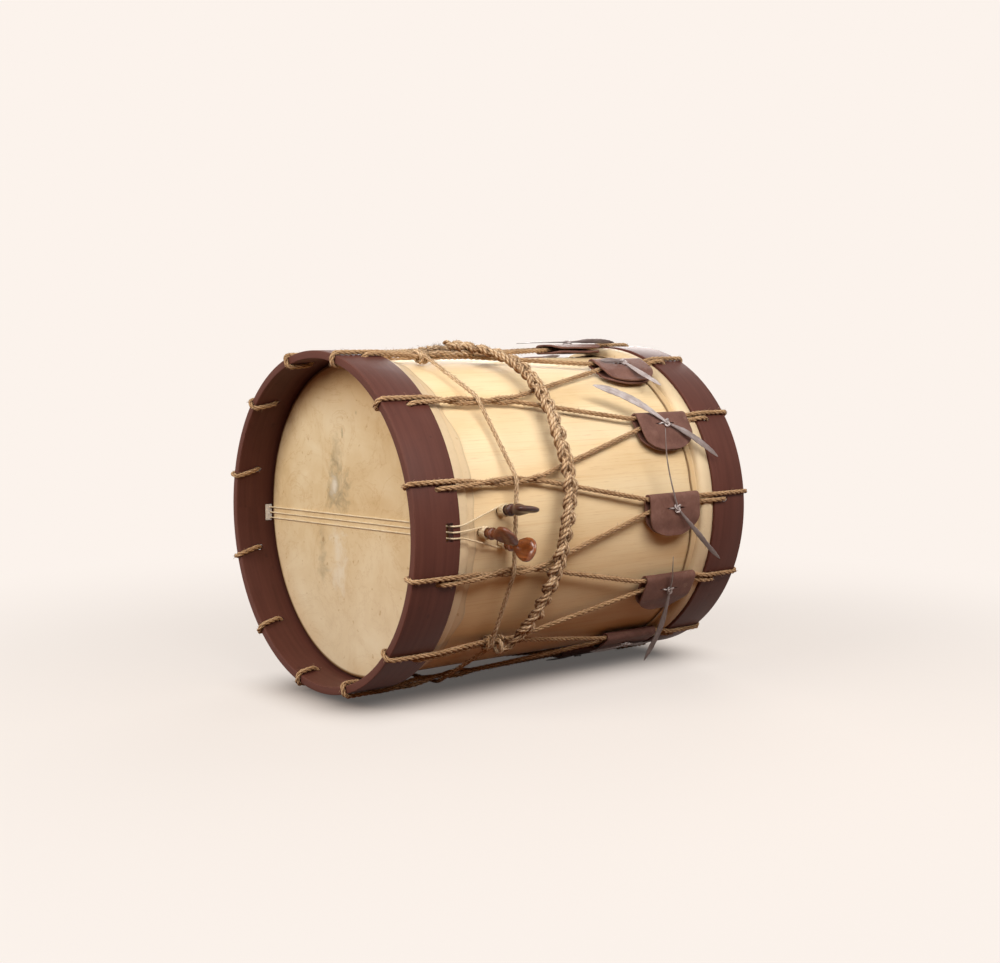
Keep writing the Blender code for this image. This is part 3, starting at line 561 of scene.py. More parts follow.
def skin_finish(name, hoop_end, into, stained, edge_dirt_and_shadow):
    """Raw calfskin: cloudy cream and tan, faint veins, a painted shadow on its top, painted shade where it
    folds under the hoop, a cut edge darkened by dirt and a painted shadow, and the marks if it is stained.
    """
    paint = Paint(name, {"Specular IOR Level": 0.20, "Coat Weight": 0.03, "Coat Roughness": 0.4})
    place = paint.place()
    angle, along, radius = paint.polar()
    cloud = paint.noise(place, 7.5, 5.0, 0.62, 0.5)
    blotch = paint.noise(place, 24.0, 4.0, 0.65, 0.8)
    veins = paint.noise(place, 17.0, 6.0, 0.7, 1.6)
    hair = paint.noise(place, 900.0, 2.0, 0.6)
    colour = paint.ramp(cloud * 0.6 + blotch * 0.4, (
        (0.30, (0.545, 0.375, 0.185, 1)),
        (0.44, (0.665, 0.490, 0.270, 1)),
        (0.58, (0.745, 0.590, 0.365, 1)),
        (0.74, (0.805, 0.680, 0.470, 1)),
    ))
    vein = 1 - paint.step((veins - 0.5).size(), 0.0, 0.022)
    colour = paint.tint(vein * 0.30, colour, (0.74, 0.58, 0.40, 1))
    if stained:
        x, unused, z = paint.parts(place)
        colour = paint.tint(paint.step(x, -0.06, 0.08), colour, (0.95, 0.89, 0.82, 1))
        colour = paint.mix(paint.step(z - AXIS.z, 0.02, -0.12) * 0.30, colour, (0.80, 0.72, 0.58, 1))
        ragged = (blotch - 0.5) * 2.2 + (paint.noise(place, 80.0, 4.0, 0.65, 0.8) - 0.5) * 3.0
        for right, up, half_width, half_height, strength, tone in SKIN_MARKS:
            across = (x - (AXIS.x + right)) / half_width
            rise = (z - (AXIS.z + up)) / half_height
            spread = (across * across + rise * rise) ** 0.5 + ragged
            colour = paint.mix(paint.step(spread, 1.20, -0.10) * strength, colour, tone)
    # Painted shadow of the hoop's upper rim: the top of the skin is darkened in blotches.
    high = paint.step(angle.sine() * radius, 0.075, 0.135)
    edge_of_face = paint.step(radius, 0.112, 0.140) * paint.step(cloud, 0.42, 0.62)
    colour = paint.tint(high * (0.55 + blotch * 0.5), colour, (0.64, 0.49, 0.34, 1))
    colour = paint.tint(edge_of_face * 0.45, colour, (0.78, 0.60, 0.40, 1))
    past_hoop = (along - hoop_end) * into
    lap = paint.step(past_hoop, -0.0005, 0.0005)
    # Painted shade, with some dirt, where the skin turns over the shell's edge under the hoop.
    folded = paint.step(radius, SHELL_RADIUS - 0.0030, SHELL_RADIUS - 0.0005) * (1 - lap)
    colour = paint.tint(folded, colour, (0.22, 0.13, 0.08, 1))
    colour = paint.mix(lap * 0.55, colour, (0.82, 0.69, 0.48, 1))
    tail = paint.step(past_hoop, RIDGE_WIDTH, RIDGE_WIDTH + 0.002)
    colour = paint.tint(tail * (blotch * edge_dirt_and_shadow), colour, (0.80, 0.66, 0.46, 1))
    # The cut edge's dark line: dirt and a painted shadow where the lifted edge stands off the shell.
    cut_edge = paint.step(paint.attribute("cut_edge"), 0.3, 0.9)
    colour = paint.mix(cut_edge * (0.8 * edge_dirt_and_shadow), colour, (0.17, 0.085, 0.035, 1))
    flecks = paint.step(paint.noise(place, 160.0, 2.0, 0.5), 0.70, 0.76)
    colour = paint.tint(flecks * 0.5, colour, (0.62, 0.46, 0.30, 1))
    roughness = 0.44 + blotch * 0.18
    return paint.finish(colour, roughness, blotch * 0.6 + hair * 0.12 + vein * 0.25, 0.00022)


def rope_finish(name, dark, middle, light):
    """Hemp: yarns that wind along each strand, uneven in tone, and painted shade, with some dirt, in the
    grooves between the strands.
    """
    paint = Paint(name, {"Specular IOR Level": 0.10, "Sheen Weight": 0.12, "Sheen Roughness": 0.5})
    turn, along = paint.lay()
    yarns = ((turn * 3.0 + along * 210.0) * (2 * pi)).sine() * 0.5 + 0.5
    fibre = paint.noise(paint.joined(turn * 16.0 + along * 900.0, along * 160.0, 0.0), 1.0, 3.0, 0.65)
    place = paint.place()
    patch = paint.noise(place, 55.0, 3.0, 0.6)
    fleck = paint.noise(place, 700.0, 2.0, 0.6)
    tone = fibre * 0.45 + patch * 0.35 + yarns * 0.20
    colour = paint.ramp(tone, ((0.28, dark), (0.50, middle), (0.74, light)))
    # Painted shade, with some dirt, where the surface lies deep: in the grooves between strands and where a
    # plaited strand dips under the others.
    painted_groove_shade = paint.step(paint.attribute("height"), 0.80, 0.42)
    colour = paint.tint(painted_groove_shade, colour, (0.34, 0.22, 0.13, 1))
    colour = paint.tint(paint.step(fleck, 0.60, 0.75) * 0.5, colour, (0.50, 0.38, 0.26, 1))
    return paint.finish(colour, 0.78 + fibre * 0.18, yarns * 0.5 + fibre * 0.7 + fleck * 0.3, 0.00030)


def ear_finish():
    """Oiled leather: close grain, creased, with paler scuffs."""
    paint = Paint("ear_leather", {"Specular IOR Level": 0.20})
    place = paint.place()
    sockets = {"Vector": place, "Scale": 850.0}
    pebbles = paint.node("ShaderNodeTexVoronoi", {"feature": "DISTANCE_TO_EDGE"}, sockets)
    crease = paint.noise(place, 130.0, 4.0, 0.65, 1.2)
    cloud = paint.noise(place, 32.0, 4.0, 0.6)
    colour = paint.ramp(cloud * 0.6 + crease * 0.4, (
        (0.30, (0.100, 0.042, 0.032, 1)),
        (0.52, (0.175, 0.082, 0.062, 1)),
        (0.75, (0.250, 0.132, 0.102, 1)),
    ))
    scuff = paint.step(paint.noise(place, 75.0, 3.0, 0.6, 0.6), 0.62, 0.74)
    colour = paint.mix(scuff * 0.35, colour, (0.33, 0.20, 0.155, 1))
    relief = paint.step(pebbles, 0.0, 0.16) * 0.55 + crease * 0.6
    return paint.finish(colour, 0.44 + crease * 0.22, relief, 0.00016)


def lace_finish():
    """Grey-brown thong with drawn-out fibre, as pale as each thong says in its height."""
    paint = Paint("lace_leather", {"Specular IOR Level": 0.5})
    turn, along = paint.lay()
    fibre = paint.noise(paint.joined(turn * 30.0, along * 90.0, 0.0), 1.0, 3.0, 0.6)
    cloud = paint.noise(paint.place(), 70.0, 3.0, 0.6)
    colour = paint.ramp(fibre * 0.5 + cloud * 0.5, (
        (0.30, (0.200, 0.150, 0.135, 1)),
        (0.50, (0.430, 0.370, 0.360, 1)),
        (0.70, (0.660, 0.620, 0.620, 1)),
    ))
    colour = paint.tint(1 - paint.attribute("height"), colour, (0.16, 0.10, 0.085, 1))
    return paint.finish(colour, 0.38 + fibre * 0.2, fibre, 0.00012)


def gut_finish():
    """Twisted gut, pale and slightly shiny."""
    paint = Paint("gut_string", {"Specular IOR Level": 0.35, "Coat Weight": 0.05, "Coat Roughness": 0.3})
    turn, along = paint.lay()
    twist = ((turn * 2.0 + along * 420.0) * (2 * pi)).sine() * 0.5 + 0.5
    cloud = paint.noise(paint.place(), 140.0, 3.0, 0.6)
    colour = paint.ramp(cloud * 0.7 + twist * 0.3, (
        (0.25, (0.62, 0.46, 0.26, 1)),
        (0.55, (0.78, 0.63, 0.41, 1)),
        (0.80, (0.85, 0.76, 0.60, 1)),
    ))
    return paint.finish(colour, 0.36 + cloud * 0.12, twist, 0.00010)


def peg_finish(name, dark, light, lacquer):
    """Polished turned wood, its grain along the pegs, which all point about to the right flank."""
    paint = Paint(name, {"Coat Weight": lacquer, "Coat Roughness": 0.12, "Specular IOR Level": 0.25})
    place = paint.parts(paint.place())
    grain = paint.grain(place, (30, 420, 420), 4.0, 0.6, 0.5)
    pores = paint.grain(place, (140, 1900, 1900), 2.0, 0.6)
    colour = paint.ramp(grain, ((0.30, dark), (0.70, light)))
    colour = paint.tint(paint.step(pores, 0.56, 0.66) * 0.6, colour, (0.35, 0.35, 0.35, 1))
    return paint.finish(colour, 0.24 + grain * 0.14, grain * 0.5 + pores * 0.5, 0.00005)


def bone_finish():
    """Polished bone with fine dark pores."""
    paint = Paint("toggle_bone", {"Specular IOR Level": 0.5, "Coat Weight": 0.2, "Coat Roughness": 0.2})
    cloud = paint.noise(paint.place(), 90.0, 3.0, 0.6)
    pores = paint.step(paint.grain(paint.parts(paint.place()), (1500, 1500, 220), 2.0, 0.6), 0.62, 0.70)
    colour = paint.ramp(cloud, ((0.3, (0.90, 0.88, 0.82, 1)), (0.7, (0.95, 0.94, 0.91, 1))))
    colour = paint.tint(pores * 0.6, colour, (0.55, 0.42, 0.28, 1))
    return paint.finish(colour, 0.30 + cloud * 0.12, cloud * 0.5 - pores * 0.5, 0.00005)


def ring_finish():
    """Raw bent ash of the flesh hoops inside the skins' laps."""
    paint = Paint("flesh_hoop_ash", {"Specular IOR Level": 0.4})
    angle, along, radius = paint.polar()
    grain = paint.grain((angle, along, radius), (3, 400, 400), 3.0, 0.6, 0.3)
    colour = paint.ramp(grain, ((0.3, (0.42, 0.27, 0.13, 1)), (0.7, (0.62, 0.44, 0.24, 1))))
    return paint.finish(colour, 0.55 + grain * 0.15, grain, 0.00008)


def around(radius, angle, y):
    """The point at a radius and an angle round the drum's axis, y behind the front rim."""
    return AXIS + Vector((radius * cos(angle), y, radius * sin(angle)))


def clear_selection():
    bpy.ops.object.select_all(action="DESELECT")


def hold(piece):
    """Make a piece the only selected and the active one."""
    clear_selection()
    piece.select_set(True)
    bpy.context.view_layer.objects.active = piece
    return piece


def link_mesh(name, mesh):
    piece = bpy.data.objects.new(name, mesh)
    bpy.context.scene.collection.objects.link(piece)
    return hold(piece)


def added(name):
    """Name the primitive that was just added, and move its place into its mesh."""
    piece = bpy.context.object
    piece.name = name
    piece.data.name = name
    bpy.ops.object.transform_apply(location=True, rotation=True, scale=True)
    return piece


def apply_all(piece):
    hold(piece)
    for modifier in list(piece.modifiers):
        bpy.ops.object.modifier_apply(modifier=modifier.name)
    return piece


def smooth(piece, angle=35):
    hold(piece)
    bpy.ops.object.shade_smooth_by_angle(angle=radians(angle))
    return piece


def thicken(piece, wall, offset):
    thickness = piece.modifiers.new("wall", "SOLIDIFY")
    thickness.thickness = wall
    thickness.offset = offset


def round_edges(piece, width, segments, sharper):
    """Round the edges that turn more than sharper degrees."""
    edges = piece.modifiers.new("edges", "BEVEL")
    edges.width = width
    edges.segments = segments
    edges.limit_method = "ANGLE"
    edges.angle_limit = radians(sharper)


def merge_points(nearer):
    """Leave edit mode with the points that lie nearer together than that merged, and the faces turned out."""
    bpy.ops.mesh.select_all(action="SELECT")
    bpy.ops.mesh.remove_doubles(threshold=nearer)
    bpy.ops.mesh.normals_make_consistent(inside=False)
    bpy.ops.object.mode_set(mode="OBJECT")


def cut_out(piece, cutter):
    """Cut one shape out of a piece, and throw the shape away."""
    boolean = piece.modifiers.new("cut", "BOOLEAN")
    boolean.operation = "DIFFERENCE"
    boolean.solver = "EXACT"
    boolean.object = cutter
    apply_all(piece)
    bpy.data.objects.remove(cutter)


def joined_pieces(name, pieces):
    hold(pieces[0])
    for piece in pieces:
        piece.select_set(True)
    bpy.ops.object.join()
    pieces[0].name = name
    return pieces[0]


def put(piece, material, slot, body, *nodes):
    """Give a piece its finish, let it ride on its body and hide the solids it stands for."""
    piece.data.materials.clear()
    piece.data.materials.append(material)
    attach(piece, body)
    if nodes:
        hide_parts(*nodes)
    return piece


def spun(name, outline, steps, centre, axis, across):
    """Spin an outline of (radius, height) points: heights count along the axis, radii along across."""
    points = [centre + axis * height + across * radius for radius, height in outline]
    mesh = bpy.data.meshes.new(name)
    mesh.from_pydata(points, [(i, i + 1) for i in range(len(points) - 1)], [])
    piece = link_mesh(name, mesh)
    bpy.ops.object.mode_set(mode="EDIT")
    bpy.ops.mesh.select_all(action="SELECT")
    bpy.ops.mesh.spin(steps=steps, angle=2 * pi, center=centre, axis=axis)
    merge_points(1e-6)
    return piece


def drum_band(name, radius, front, rear, wall, bevel):
    """A bent band round the drum, with rounded edges."""
    clear_selection()
    bpy.ops.mesh.primitive_cylinder_add(vertices=ROUND_STEPS, radius=radius, depth=rear - front,
                                        end_fill_type="NOTHING", rotation=(pi / 2, 0, 0),
                                        location=AXIS + Vector((0, (front + rear) / 2, 0)))
    band = added(name)
    thicken(band, wall, -1)
    round_edges(band, bevel, 4, 40)
    return apply_all(band)


def rod(name, start, end, diameter, sides=24):
    """A straight round rod between two points, to cut holes with."""
    clear_selection()
    along = end - start
    turn = along.to_track_quat("Z", "Y").to_euler()
    bpy.ops.mesh.primitive_cylinder_add(vertices=sides, radius=diameter / 2, depth=along.length,
                                        location=(start + end) / 2, rotation=turn)
    return added(name)


def block(name, size, centre):
    clear_selection()
    bpy.ops.mesh.primitive_cube_add(size=1, location=centre, scale=size)
    return added(name)


def hole_corners(rim, into, angle):
    """The rope's way through a hoop's wall: inside corner and outside corner."""
    middle = rim + into * HOLE_SETBACK
    inside = middle - into * (HOLE_RADIUS - ROPE_INSIDE)
    outside = middle + into * (ROPE_OUTSIDE - HOLE_RADIUS)
    return (around(ROPE_INSIDE, angle - PAIR_HALF / ROPE_INSIDE, inside),
            around(ROPE_OUTSIDE, angle - PAIR_HALF / ROPE_OUTSIDE, outside))


def rim_corners(rim, into, angle):
    """The rope's way over a rim, outside corner and inside corner."""
    y = rim - into * RIM_REACH
    return [around(radius, angle + PAIR_HALF / radius, y) for radius in (ROPE_OUTSIDE, ROPE_INSIDE)]


def make_hoop(name, rim, inner_end, into, first_angle, material):
    """A counter hoop with its slanted rope holes, and the front one with its snare slots."""
    hoop = drum_band(name, HOOP_OUTER, min(rim, inner_end), max(rim, inner_end), HOOP_WALL, HOOP_EDGE)
    for loop in range(LOOPS):
        inside, outside = hole_corners(rim, into, first_angle + loop * LOOP_STEP)
        reach = (outside - inside) * 0.12
        cut_out(hoop, rod("rope_hole", inside - reach, outside + reach, ROPE + 2 * HOLE_PLAY))
    node = "rear_hoop"
    if into > 0:
        node = "front_hoop"
        for side, height in ((-1, LEFT_SLOT_HEIGHT), (1, RIGHT_SLOT_HEIGHT)):
            centre = AXIS + Vector((side * HOLE_RADIUS, SLOT_MIDDLE, height))
            cut_out(hoop, block("snare_slot", (4 * HOOP_WALL, SLOT_WIDTH, SLOT_HEIGHT), centre))
    smooth(hoop)
    put(hoop, material, "hoop_wood", "drum", node)


def make_shell(material):
    """The plywood shell with the pegs' bores."""
    front = SKIN_FACE + SKIN + GAP
    rear = REAR_SKIN_FACE - SKIN - GAP
    shell = drum_band("plywood_shell", SHELL_RADIUS, front, rear, SHELL_WALL, SHELL_EDGE_BEVEL)
    for angle, before, *unused in PEGS:
        y = WAIST_PLACE - before
        start = around(SHELL_RADIUS - 3 * SHELL_WALL, angle, y)
        end = around(SHELL_RADIUS + 3 * SHELL_WALL, angle, y)
        cut_out(shell, rod("peg_bore", start, end, PEG_SHANK + 2 * GAP))
    smooth(shell)
    put(shell, material, "shell_wood", "drum", "shell")


def arc(centre, size, start, end, count):
    """Points of an outline on a circle or an ellipse, (radius, height), between two angles."""
    points = []
    for step in range(count + 1):
        turn = start + (end - start) * step / count
        points.append((centre[0] + size[0] * cos(turn), centre[1] + size[1] * sin(turn)))
    return points


def skin_outline(face, hoop_end, into, ridge):
    """A skin's section: its face, the shell's edge, the ridge over the flesh hoop and the cut tail."""
    on_shell = SHELL_RADIUS + GAP
    top = on_shell + SKIN
    ridge_start = hoop_end + into * GAP
    tail_start = ridge_start + into * RIDGE_WIDTH
    tail_end = tail_start + into * SKIN_TAIL
    lining = face + into * SKIN
    edge = SHELL_EDGE_BEVEL + SKIN / 2
    rise = ridge - SKIN
    outside = [(0.0, face)]
    outside += [(share * (top - edge), face) for share in (0.25, 0.5, 0.75, 0.9)]
    outside += arc((top - edge, face + into * edge), (edge, -into * edge), pi / 2, 0, 5)
    outside.append((top, ridge_start))
    for part in (0.0, RIDGE_CREST / 2):
        share = RIDGE_BY_HOOP + (1 - RIDGE_BY_HOOP) * part / RIDGE_CREST
        outside.append((top + rise * share, ridge_start + into * RIDGE_WIDTH * part))
    for step in range(RIDGE_STEPS):
        turn = RIDGE_ROUND * step / (RIDGE_STEPS - 1)
        part = RIDGE_CREST + (1 - RIDGE_CREST) * sin(turn) ** RIDGE_FULLNESS
        outside.append((top + rise * cos(turn) ** RIDGE_FULLNESS, ridge_start + into * RIDGE_WIDTH * part))
    outside += [(top, tail_start + into * SKIN_TAIL * share) for share in (0.0, 0.3, 0.65, 0.9, 0.97)]
    inside = [
        (top - SKIN * 0.3, tail_end),
        (on_shell, tail_end),
        (on_shell, lining + into * SHELL_EDGE_BEVEL),
        (on_shell - SHELL_EDGE_BEVEL, lining),
        (0.0, lining),
    ]
    return outside + inside


def make_skin(name, node, face, hoop_end, into, ridge, material):
    """A skin lapped over the shell's end: puckered on its ridge and cut unevenly along its tail, the front
    one more so."""
    outline = skin_outline(face, hoop_end, into, ridge)
    skin = spun(name, outline, ROUND_STEPS, AXIS.copy(), Vector((0, 1, 0)), Vector((1, 0, 0)))
    seed, uneven = (3.0, 1.0) if into > 0 else (11.0, 0.35)
    ridge_end = (hoop_end + into * (GAP + RIDGE_WIDTH)) * into
    cut_edge = skin.data.attributes.new("cut_edge", "FLOAT", "POINT")
    for vert in skin.data.vertices:
        place = vert.co - AXIS
        radius = sqrt(place.x ** 2 + place.z ** 2)
        past_hoop = (place.y - hoop_end) * into
        if past_hoop < 0.001 or radius < SHELL_RADIUS:
            continue
        ring = Vector((place.x, 0, place.z)) / radius
        pucker = noise.noise(ring * 26 + Vector((0, seed, 0)))
        wave = noise.noise(ring * 5 + Vector((0, seed + 5, 0)))
        nick = noise.noise(ring * 40 + Vector((0, seed + 9, 0)))
        tail = max(0.0, place.y * into - ridge_end) / SKIN_TAIL
        swell = max(0.0, radius - SHELL_RADIUS - GAP - SKIN)
        radius_more = min(swell, PUCKER_HEIGHT) * (0.08 * pucker + 0.05 * wave)
        vert.co += ring * (radius_more + tail * tail * TAIL_LIFT * (1 + nick))
        vert.co.y -= into * tail * (TAIL_CUT + uneven * (TAIL_WAVES * wave + TAIL_NICKS * nick))
        cut_edge.data[vert.index].value = 1.0 if tail > 0.88 else 0.0
    smooth(skin, 50)
    put(skin, material, "skin", "drum", node)


def rounded_route(corners, bend):
    """Replace each corner but the soft ones by a curve of about that bend radius."""
    route = [corners[0]]
    for before, corner, after in zip(corners, corners[1:], corners[2:]):
        to_before = before - corner
        to_after = after - corner
        turn = pi - to_before.angle(to_after)
        if turn < SOFT_CORNER:
            route.append(corner)
            continue
        reach = min(bend * tan(turn / 2), 0.45 * to_before.length, 0.45 * to_after.length)
        enter = corner + to_before.normalized() * reach
        leave = corner + to_after.normalized() * reach
        steps = ceil(turn / BEND_STEP)
        for number in range(steps + 1):
            part = number / steps
            route.append(enter * (1 - part) ** 2 + corner * 2 * part * (1 - part) + leave * part ** 2)
    route.append(corners[-1])
    return route


def smooth_through(points, spacing):
    """Points along a smooth curve that passes through the given ones."""
    padded = [2 * points[0] - points[1], *points, 2 * points[-1] - points[-2]]
    curve = []
    for before, start, end, after in zip(padded, padded[1:], padded[2:], padded[3:]):
        count = max(1, ceil((end - start).length / spacing))
        for step in range(count):
            u = step / count
            curve.append(0.5 * (2 * start + (end - before) * u
                                + (2 * before - 5 * start + 4 * end - after) * u * u
                                + (3 * start - before - 3 * end + after) * u ** 3))
    curve.append(points[-1])
    return curve


def lengths_along(line):
    """How far along a line each of its points is."""
    return np.concatenate([[0.0], np.cumsum(np.linalg.norm(np.diff(line, axis=0), axis=1))])


def evenly(points, step, rounds=0):
    """The same line with points about step apart, and its kinks eased in so many rounds."""
    line = np.array([tuple(point) for point in points])
    along = lengths_along(line)
    at = np.linspace(0.0, along[-1], max(2, ceil(along[-1] / step)) + 1)
    line = np.stack([np.interp(at, along, line[:, k]) for k in range(3)], axis=1)
    for unused in range(rounds):
        line[1:-1] = 0.25 * line[:-2] + 0.5 * line[1:-1] + 0.25 * line[2:]
    return line


def unit(vectors):
    return vectors / np.maximum(np.linalg.norm(vectors, axis=-1, keepdims=True), 1e-12)


def frames(line):
    """Along, aside and up directions for each point of a line, with no twist of their own."""
    along = unit(np.gradient(line, axis=0))
    first = np.cross(along[0], (0.3, 0.5, 0.8))
    up = np.empty_like(line)
    up[0] = first / np.linalg.norm(first)
    for i in range(1, len(line)):
        turned = up[i - 1] - along[i] * np.dot(up[i - 1], along[i])
        up[i] = turned / np.linalg.norm(turned)
    return along, np.cross(up, along), up


def facing_out(line):
    """Aside and outward directions for each point of a line that lies on the drum."""
    along = unit(np.gradient(line, axis=0))
    out = line - np.array(AXIS)
    out[:, 1] = 0.0
    out = unit(out - along * np.sum(out * along, axis=1, keepdims=True))
    return np.cross(along, out), out


def tube(line, width, height, sides, directions=None):
    """A tube's rings along a line, how far each ring is along it, and an even height over grooves."""
    along, aside, up = directions or frames(line)
    turn = np.arange(sides) * 2 * pi / sides
    width = np.broadcast_to(width, len(line))[:, None, None]
    height = np.broadcast_to(height, len(line))[:, None, None]
    rings = (line[:, None, :] + width * np.cos(turn)[None, :, None] * aside[:, None, :]
             + height * np.sin(turn)[None, :, None] * up[:, None, :])
    return rings, lengths_along(line), np.ones((len(line), sides))


def mesh_of_tubes(name, tubes):
    """One mesh of closed tubes, with a map of the way round and along each, and the height over grooves."""
    points, faces, maps, heights = [], [], [], []
    start = 0
    for rings, distance, height in tubes:
        count, sides = rings.shape[:2]
        points.append(rings.reshape(-1, 3))
        heights.append(height.ravel())
        index = start + np.arange(count * sides).reshape(count, sides)
        after = np.roll(index, -1, axis=1)
        quads = np.stack([index[:-1], after[:-1], after[1:], index[1:]], axis=-1).reshape(-1, 4)
        around_it = np.arange(sides) / sides
        left = np.broadcast_to(around_it, (count - 1, sides))
        right = left + 1 / sides
        near = np.broadcast_to(distance[:-1, None], (count - 1, sides))
        far = np.broadcast_to(distance[1:, None], (count - 1, sides))
        corners = [(left, near), (right, near), (right, far), (left, far)]
        maps.append(np.stack([np.stack(corner, axis=-1) for corner in corners], axis=-2).reshape(-1, 2))
        faces += quads.tolist()
        for cap, place in ((index[0][::-1], distance[0]), (index[-1], distance[-1])):
            faces.append(cap.tolist())
            maps.append(np.column_stack([around_it, np.full(sides, place)]))
        start += count * sides
    mesh = bpy.data.meshes.new(name)
    mesh.from_pydata(np.concatenate(points).tolist(), [], faces)
    layer = mesh.uv_layers.new(name="lay")
    layer.data.foreach_set("uv", np.concatenate(maps).astype(np.float32).ravel())
    attribute = mesh.attributes.new("height", "FLOAT", "POINT")
    attribute.data.foreach_set("value", np.concatenate(heights).astype(np.float32))
    mesh.shade_smooth()
    return mesh


def put_tubes(name, tubes, material, slot, body, *nodes):
    """One piece of closed tubes, put on its body."""
    return put(link_mesh(name, mesh_of_tubes(name, tubes)), material, slot, body, *nodes)


def twisted(line, diameter, lay, phase):
    """Three strands laid round a line: tubes with that lay, together as thick as the diameter."""
    along, aside, up = frames(line)
    strand = diameter * STRAND_SHARE
    distance = lengths_along(line)
    tubes = []
    for number in range(3):
        turn = phase + 2 * pi * (number / 3 + distance / lay)
        middle = line + strand * (np.cos(turn)[:, None] * aside + np.sin(turn)[:, None] * up)
        rings, lengths, unused = tube(middle, np.ravel(strand), np.ravel(strand), STRAND_SIDES)
        # How far each point lies out from the rope's middle; the hemp finish turns low places into painted
        # groove shade.
        height = np.linalg.norm(rings - line[:, None, :], axis=2) / (2 * strand)
        tubes.append((rings, lengths, height))
    return tubes


def stray_fibres(line, count, radius, reach):
    """Loose fibres that stand off a rope: short curved spikes that start at its surface."""
    along, aside, up = frames(line)
    taper = (FIBRE, FIBRE * 0.8, FIBRE * 0.3)
    spikes = []
    for unused in range(count):
        place = CHANCE.randrange(1, len(line) - 1)
        turn = CHANCE.uniform(0, 2 * pi)
        out = aside[place] * cos(turn) + up[place] * sin(turn)
        lean = along[place] * CHANCE.choice((-1, 1)) * CHANCE.uniform(0.5, 2.0)
        heading = unit(out + lean)
        length = reach * CHANCE.uniform(0.5, 1.0)
        root = line[place] + out * radius * 0.8
        elbow = root + heading * length * 0.6
        tip = elbow + unit(heading + out * CHANCE.uniform(-0.9, 0.5)) * length * 0.5
        spike = np.array((root, elbow, tip))
        spikes.append(tube(spike, taper, taper, 3))
    return spikes


def pair_radius(y):
    """The radius of a front pair's middle line at a place between the front hoop and the ears."""
    level_start = WAIST_PLACE - WAIST_LEVEL
    slope_start = FRONT_HOOP_WIDTH - HOOP_ROUND / 2
    part = max(0.0, (level_start - y) / (level_start - slope_start))
    return WAIST_RADIUS + part * (ROPE_OUTSIDE - WAIST_RADIUS)


def waist_crossing(loop):
    """Where the waist rope crosses a front pair; its shifts count from the knot, two pairs lower."""
    return WAIST_PLACE + WAIST_SHIFTS[(loop + 2) % LOOPS]


def twisted_strand(angle, side, loop):
    """A strand of a front pair up to the hoop: wound once round its fellow, or beside it under the sling."""
    crossing = waist_crossing(loop)
    half_turn = 0 if loop in PAIRS_UNDER_SLING else pi
    stretches = ((WAIST_PLACE + PAIR_BEHIND_WAIST, crossing + CROSSING_HALF, 0),
                 (crossing - CROSSING_HALF, FRONT_HOOP_WIDTH + PAIR_BEHIND_HOOP, half_turn))
    points = []
    for start, end, turned in stretches:
        for step in range(TWIST_POINTS + 1):
            part = step / TWIST_POINTS
            y = start + (end - start) * part
            turn = turned + half_turn * part
            radius = pair_radius(y) + side * PAIR_PRESSED * sin(turn)
            points.append(around(radius, angle + side * PAIR_PRESSED * cos(turn) / radius, y))
    edge = FRONT_HOOP_WIDTH - HOOP_ROUND / 2
    points.append(around(ROPE_OUTSIDE, angle + side * PAIR_HALF / ROPE_OUTSIDE, edge))
    return points


def rear_strand(angle, side, shift):
    """A strand from the rear hoop's edge forward through its ear; the lower one leaves it past the lace."""
    hoop_edge = DRUM_LENGTH - REAR_HOOP_WIDTH + HOOP_ROUND / 2
    ear_back = EAR_MIDDLE + EAR_LENGTH / 2 + EAR_BACK_TRAVEL + CHANNEL_PLAY
    ear_front = EAR_MIDDLE - EAR_LENGTH / 2 if side > 0 else EAR_MIDDLE + shift - STRAND_LEAVES
    offset = side * PAIR_HALF
    return [around(ROPE_OUTSIDE, angle + offset / ROPE_OUTSIDE, hoop_edge),
            around(EAR_ROPE_RADIUS, angle + offset / EAR_ROPE_RADIUS, ear_back),
            around(EAR_ROPE_RADIUS, angle + offset / EAR_ROPE_RADIUS, ear_front)]


def rope_route(loop):
    """One length of the tension rope: rear hole, ear, front pair, front rim and hole, next ear, rear rim."""
    angle = FRONT_TURN + loop * LOOP_STEP
    upper = REAR_TURN + (loop + 1) * LOOP_STEP
    lower = upper - LOOP_STEP
    start_inside, start_outside = hole_corners(DRUM_LENGTH, -1, upper)
    end_inside, end_outside = hole_corners(DRUM_LENGTH, -1, lower)
    corners = [(start_inside + start_outside) / 2, start_outside]
    corners += rear_strand(upper, -1, EAR_SHIFTS[(loop + 1) % LOOPS])
    corners += twisted_strand(angle, 1, loop)
    corners += rim_corners(0.0, 1, angle)
    corners += hole_corners(0.0, 1, angle)
    corners += twisted_strand(angle, -1, loop)[::-1]
    corners += rear_strand(lower, 1, EAR_SHIFTS[loop])[::-1]
    corners += rim_corners(DRUM_LENGTH, -1, lower)
    corners += [end_inside, (end_inside + end_outside) / 2]
    return rounded_route(corners, ROPE_BEND)


def put_rope(name, line, thickness, lay, phase, fibres, material, *nodes):
    """A piece of three-strand rope along a line; fibres are (number of them, how far they stand off)."""
    number, reach = fibres
    tubes = twisted(line, thickness, lay, phase)
    tubes += stray_fibres(line, number, thickness / 2, reach)
    put_tubes(name, tubes, material, "rope", "drum", *nodes)


def make_tension_rope(material):
    """The zigzag rope in twelve lengths of three-strand hemp."""
    for loop in range(LOOPS):
        line = evenly(rope_route(loop), ROPE_STEP, 2)
        number = f"{loop + 1:02d}"
        put_rope(f"tension_rope_length_{number}", line, ROPE_DRAWN, ROPE_LAY, CHANCE.uniform(0, 2 * pi),
                 TENSION_FIBRES, material, f"tension_rope_{number}")


